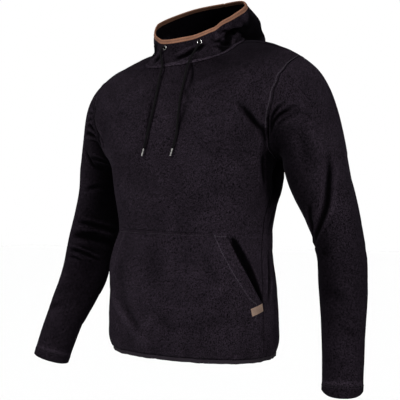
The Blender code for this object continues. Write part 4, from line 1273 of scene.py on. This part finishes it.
# ---- The drawcords -------------------------------------------------------------------------------
# Two round braided cords hang free from the eyelets, each ended by a metal tip.
CORD_DIAMETER = 4.4 * MM
CORD_BLACK = (0.0018, 0.0016, 0.0019)
TIP_RADIUS = 2.0 * MM
TIP_SIDES = 40
TIP_GAP = 0.3 * MM
TIP_PROFILE = [  # mm along a tip, and shares of its radius: two grooves between rounded ends
    (0.0, 0.80), (0.3, 0.94), (0.9, 1), (3.2, 1), (3.7, 0.88), (4.5, 0.88), (5.0, 1),
    (11.0, 1), (11.5, 0.88), (12.3, 0.88), (12.8, 1), (15.2, 1), (15.8, 0.9), (16.0, 0.72),
]
# Each cord's way from its eyelet: degrees from the centre front, body level, and mm off the cloth.
CORD_RUNS = {
    "left": [
        (19.5, 2.84, 7), (13, 2.44, 5), (8, 1.89, 4), (8, 1.56, 4), (8.5, 1.27, 4), (7.5, 1.14, 4),
    ],
    "right": [
        (-10.5, 2.86, 7), (-8.5, 2.6, 5), (-5, 1.96, 4), (-5.5, 1.6, 4), (-9.5, 1.24, 4), (-11, 1.16, 4),
    ],
}
CORD_OUT = 1.8  # diameters out of its eyelet, where a cord starts to hang
CORD_STEP = 0.5 * MM
CORD_SIDES = 24
BRAID_PITCH = 9.0 * MM
BRAID_STRANDS = 4
BRAID_RELIEF = 0.16 * MM


def cord_route(side):
    """A cord's middle line: straight out of its eyelet, over the collar and down the chest."""
    place, normal = eyelet_frame(side)
    start = place + normal * 2 * LAID_GAP
    drop = np.array([0.0, 0.0, -CORD_DIAMETER])
    points = [start, start + normal * CORD_DIAMETER, start + normal * CORD_DIAMETER * CORD_OUT + drop]
    for degrees, level, off in CORD_RUNS[side]:
        angle, at = np.array([math.radians(degrees)]), np.array([level])
        places, ways = faced(body_point, at, angle)
        points.append(places[0] + ways[0] * (off * MM + CORD_DIAMETER / 2))
    return np.array(points)


def read_line(at, run, line):
    """Points or ways of a line at places along it."""
    return np.stack([np.interp(at, run, line[:, k]) for k in range(3)], axis=-1)


def even_line(points, step):
    """The smooth curve through the points, read at even steps, and how far along each lies."""
    along = run_along(points)
    fine = np.linspace(0, along[-1], 2000)
    line = np.stack([through(along, points[:, k], fine) for k in range(3)], axis=-1)
    run = run_along(line)
    at = np.linspace(0, run[-1], round(run[-1] / step) + 1)
    return read_line(at, run, line), at


def carried_frames(line):
    """Two directions square to the line at each point, carried along it without twisting."""
    ways = unit(np.gradient(line, axis=0))
    side = unit(np.cross(ways[0], [0.3, 0.5, 0.8]))
    sides = []
    for way in ways:
        side = unit(side - way * (side @ way))
        sides.append(side)
    sides = np.array(sides)
    return sides, np.cross(ways, sides)


def braided_tube(name, line, at, material):
    """A round cord with two sets of strands that cross over it like a braid."""
    sides, tops = carried_frames(line)
    turn = np.linspace(0, 2 * math.pi, CORD_SIDES, endpoint=False)[None, :]
    twist = 2 * math.pi * at[:, None] / BRAID_PITCH
    one = np.cos(BRAID_STRANDS * turn + twist)
    other = np.cos(BRAID_STRANDS * turn - twist)
    radius = CORD_DIAMETER / 2 - BRAID_RELIEF * (1 - np.maximum(one, other)) / 2
    points = line[:, None] + radius[..., None] * (
        np.cos(turn)[..., None] * sides[:, None] + np.sin(turn)[..., None] * tops[:, None]
    )
    rows, count = points.shape[:2]
    faces = grid_faces(rows, count, True)
    faces.append(list(range(count))[::-1])
    faces.append([(rows - 1) * count + c for c in range(count)])
    return add_piece(name, points, faces, material)


BRAID = tape_material("black_cord", CORD_BLACK, roughness=0.9, ribs=1500)
profile = [(along * MM, share * TIP_RADIUS) for along, share in TIP_PROFILE]
for side in CORD_RUNS:
    line, at = even_line(cord_route(side), CORD_STEP)
    cord = braided_tube(f"drawcord_{side}", line, at, BRAID)
    dress(cord, "cord", f"cord_{side}")
    way = unit(line[-1] - line[-8])
    tip = turned_piece(f"metal_tip_{side}", profile, TIP_SIDES, NICKEL, line[-1] + way * TIP_GAP, way)
    dress(tip, "nickel", f"cord_tip_{side}")


# ---- The stitching -------------------------------------------------------------------------------
# Black thread, paler as a painted highlight on the left side: two rows on the neck band, one beside each
# armhole, one along the pocket's top, one down and one across each facing, and two round each cuff.
STITCH = (3.1, 0.9)  # mm long, and between two
STITCH_SIDES = 6
STITCH_SECTIONS = [  # shares: of its half length, of its thickness, and how high it lies
    (-1.0, 0.35, -0.7),
    (-0.72, 0.9, -0.15),
    (0.0, 1.0, 0.25),
    (0.72, 0.9, -0.15),
    (1.0, 0.35, -0.7),
]
THREAD = 0.32  # mm, half its thickness
THREAD_PROUD = 0.12  # mm
THREAD_COLOUR = (0.0072, 0.0056, 0.0076)
THREAD_SHINE = 0.08
# A paler copy of the thread: a painted highlight on the left side's stitches.
LIT_THREAD_COLOUR = (0.023, 0.019, 0.025)
NECK_ROWS = (1.7, 7.6)  # mm below the neck seam
NECK_ROWS_OFF = 1.3 * MM
LIT_ABOVE = 1.3  # the level above which an armhole's stitches take the side's shoulder thread, on the left the paler painted-highlight copy
CUFF_ROWS = (1.5, 4.5)  # mm below the hem's top
POCKET_ENDS = 0.985  # of the pocket's half width
FACING_ROW = (POCKET_OPENING - 0.075, POCKET_TOP - 0.008)


def stitch_row(name, points, normals, closed=False, thread=None):
    """A row of stitches along the points, each a small capsule whose ends dip into the cloth."""
    if closed:
        points, normals = (np.concatenate([values, values[:1]]) for values in (points, normals))
    run = run_along(points) / MM
    starts = np.arange(0, run[-1] - STITCH[0], sum(STITCH))
    middles = read_line(starts + STITCH[0] / 2, run, points)
    ways = unit(read_line(starts + STITCH[0], run, points) - read_line(starts, run, points))
    tops = unit(read_line(starts + STITCH[0] / 2, run, normals))
    frames = np.stack([ways, np.cross(ways, tops), tops], axis=1)
    lengthwise, thin, sink = np.array(STITCH_SECTIONS).T[..., None]
    turn = np.linspace(0, 2 * math.pi, STITCH_SIDES, endpoint=False)[None]
    aside, up = thin * np.cos(turn) * THREAD, (thin * np.sin(turn) + sink) * THREAD + THREAD_PROUD
    one = np.stack([lengthwise * STITCH[0] / 2 + 0 * turn, aside, up], axis=-1).reshape(-1, 3)
    shape = middles[:, None] + MM * (one @ frames)
    last = len(one) - STITCH_SIDES
    sides = range(STITCH_SIDES)
    cell = grid_faces(len(STITCH_SECTIONS), STITCH_SIDES, True)
    cell += [list(sides)[::-1], [last + c for c in sides]]
    faces = [[i + len(one) * n for i in face] for n in range(len(starts)) for face in cell]
    return dress(add_piece(name, shape, faces, thread or BLACK_THREAD), "thread")


BLACK_THREAD, thread_shader = new_material("black_thread", THREAD_COLOUR, roughness=0.5)
thread_shader.inputs["Specular IOR Level"].default_value = THREAD_SHINE
# The paler thread is a painted highlight, used on the left shoulder and the left facing.
LIT_THREAD = new_material("lit_thread", LIT_THREAD_COLOUR, roughness=0.8)[0]
THREADS = {"left": LIT_THREAD, "right": BLACK_THREAD}

for row, down in enumerate(NECK_ROWS):
    points, ways, _ = neck_row(down)
    stitch_row(f"neck_stitches_{row + 1}", points + ways * NECK_ROWS_OFF, ways, closed=True)

ring_levels = armhole_levels()
inset = math.radians(ARMHOLE_RIDGE[0] / SEAM_ROUND)
for side, out in SIDES.items():
    for half, name, in_from_edge in ((0, "front", -inset), (1, "back", inset)):
        at = out * (panel_edge(ring_levels, half) + in_from_edge)
        points, ways, _ = body_cloth(ring_levels, at, half)
        painted_tone = ring_levels > LIT_ABOVE
        stitch_row(f"shoulder_stitches_{side}_{name}", points[painted_tone], ways[painted_tone], thread=THREADS[side])
        stitch_row(f"underarm_stitches_{side}_{name}", points[~painted_tone][2:], ways[~painted_tone][2:])

top_row = POCKET_TOP - TOP_ROW[0] / POCKET_RISE
points, ways, _ = pocket_cloth(np.linspace(-POCKET_ENDS, POCKET_ENDS, 240), top_row)
stitch_row("pocket_top_stitches", points, ways)
levels = np.linspace(*FACING_ROW, 160)
for side, out in SIDES.items():
    points, ways, _ = pocket_cloth(out * (1 - FACING / pocket_half_width(levels)), levels)
    stitch_row(f"pocket_facing_stitches_{side}", points, ways, thread=THREADS[side])
    across = np.linspace(1 - FACING / pocket_half_width(POCKET_TOP), POCKET_ENDS, 30)
    points, ways, _ = pocket_cloth(out * across, top_row)
    stitch_row(f"pocket_facing_top_stitches_{side}", points, ways, thread=THREADS[side])

for side, (cloth, ways) in SLEEVES.items():
    for row, below in enumerate(CUFF_ROWS):
        nearest = int(np.argmin(np.abs(to_cuff - CUFF_HEM + below)))
        stitch_row(f"cuff_stitches_{side}_{row + 1}", cloth[nearest], ways[nearest], closed=True)
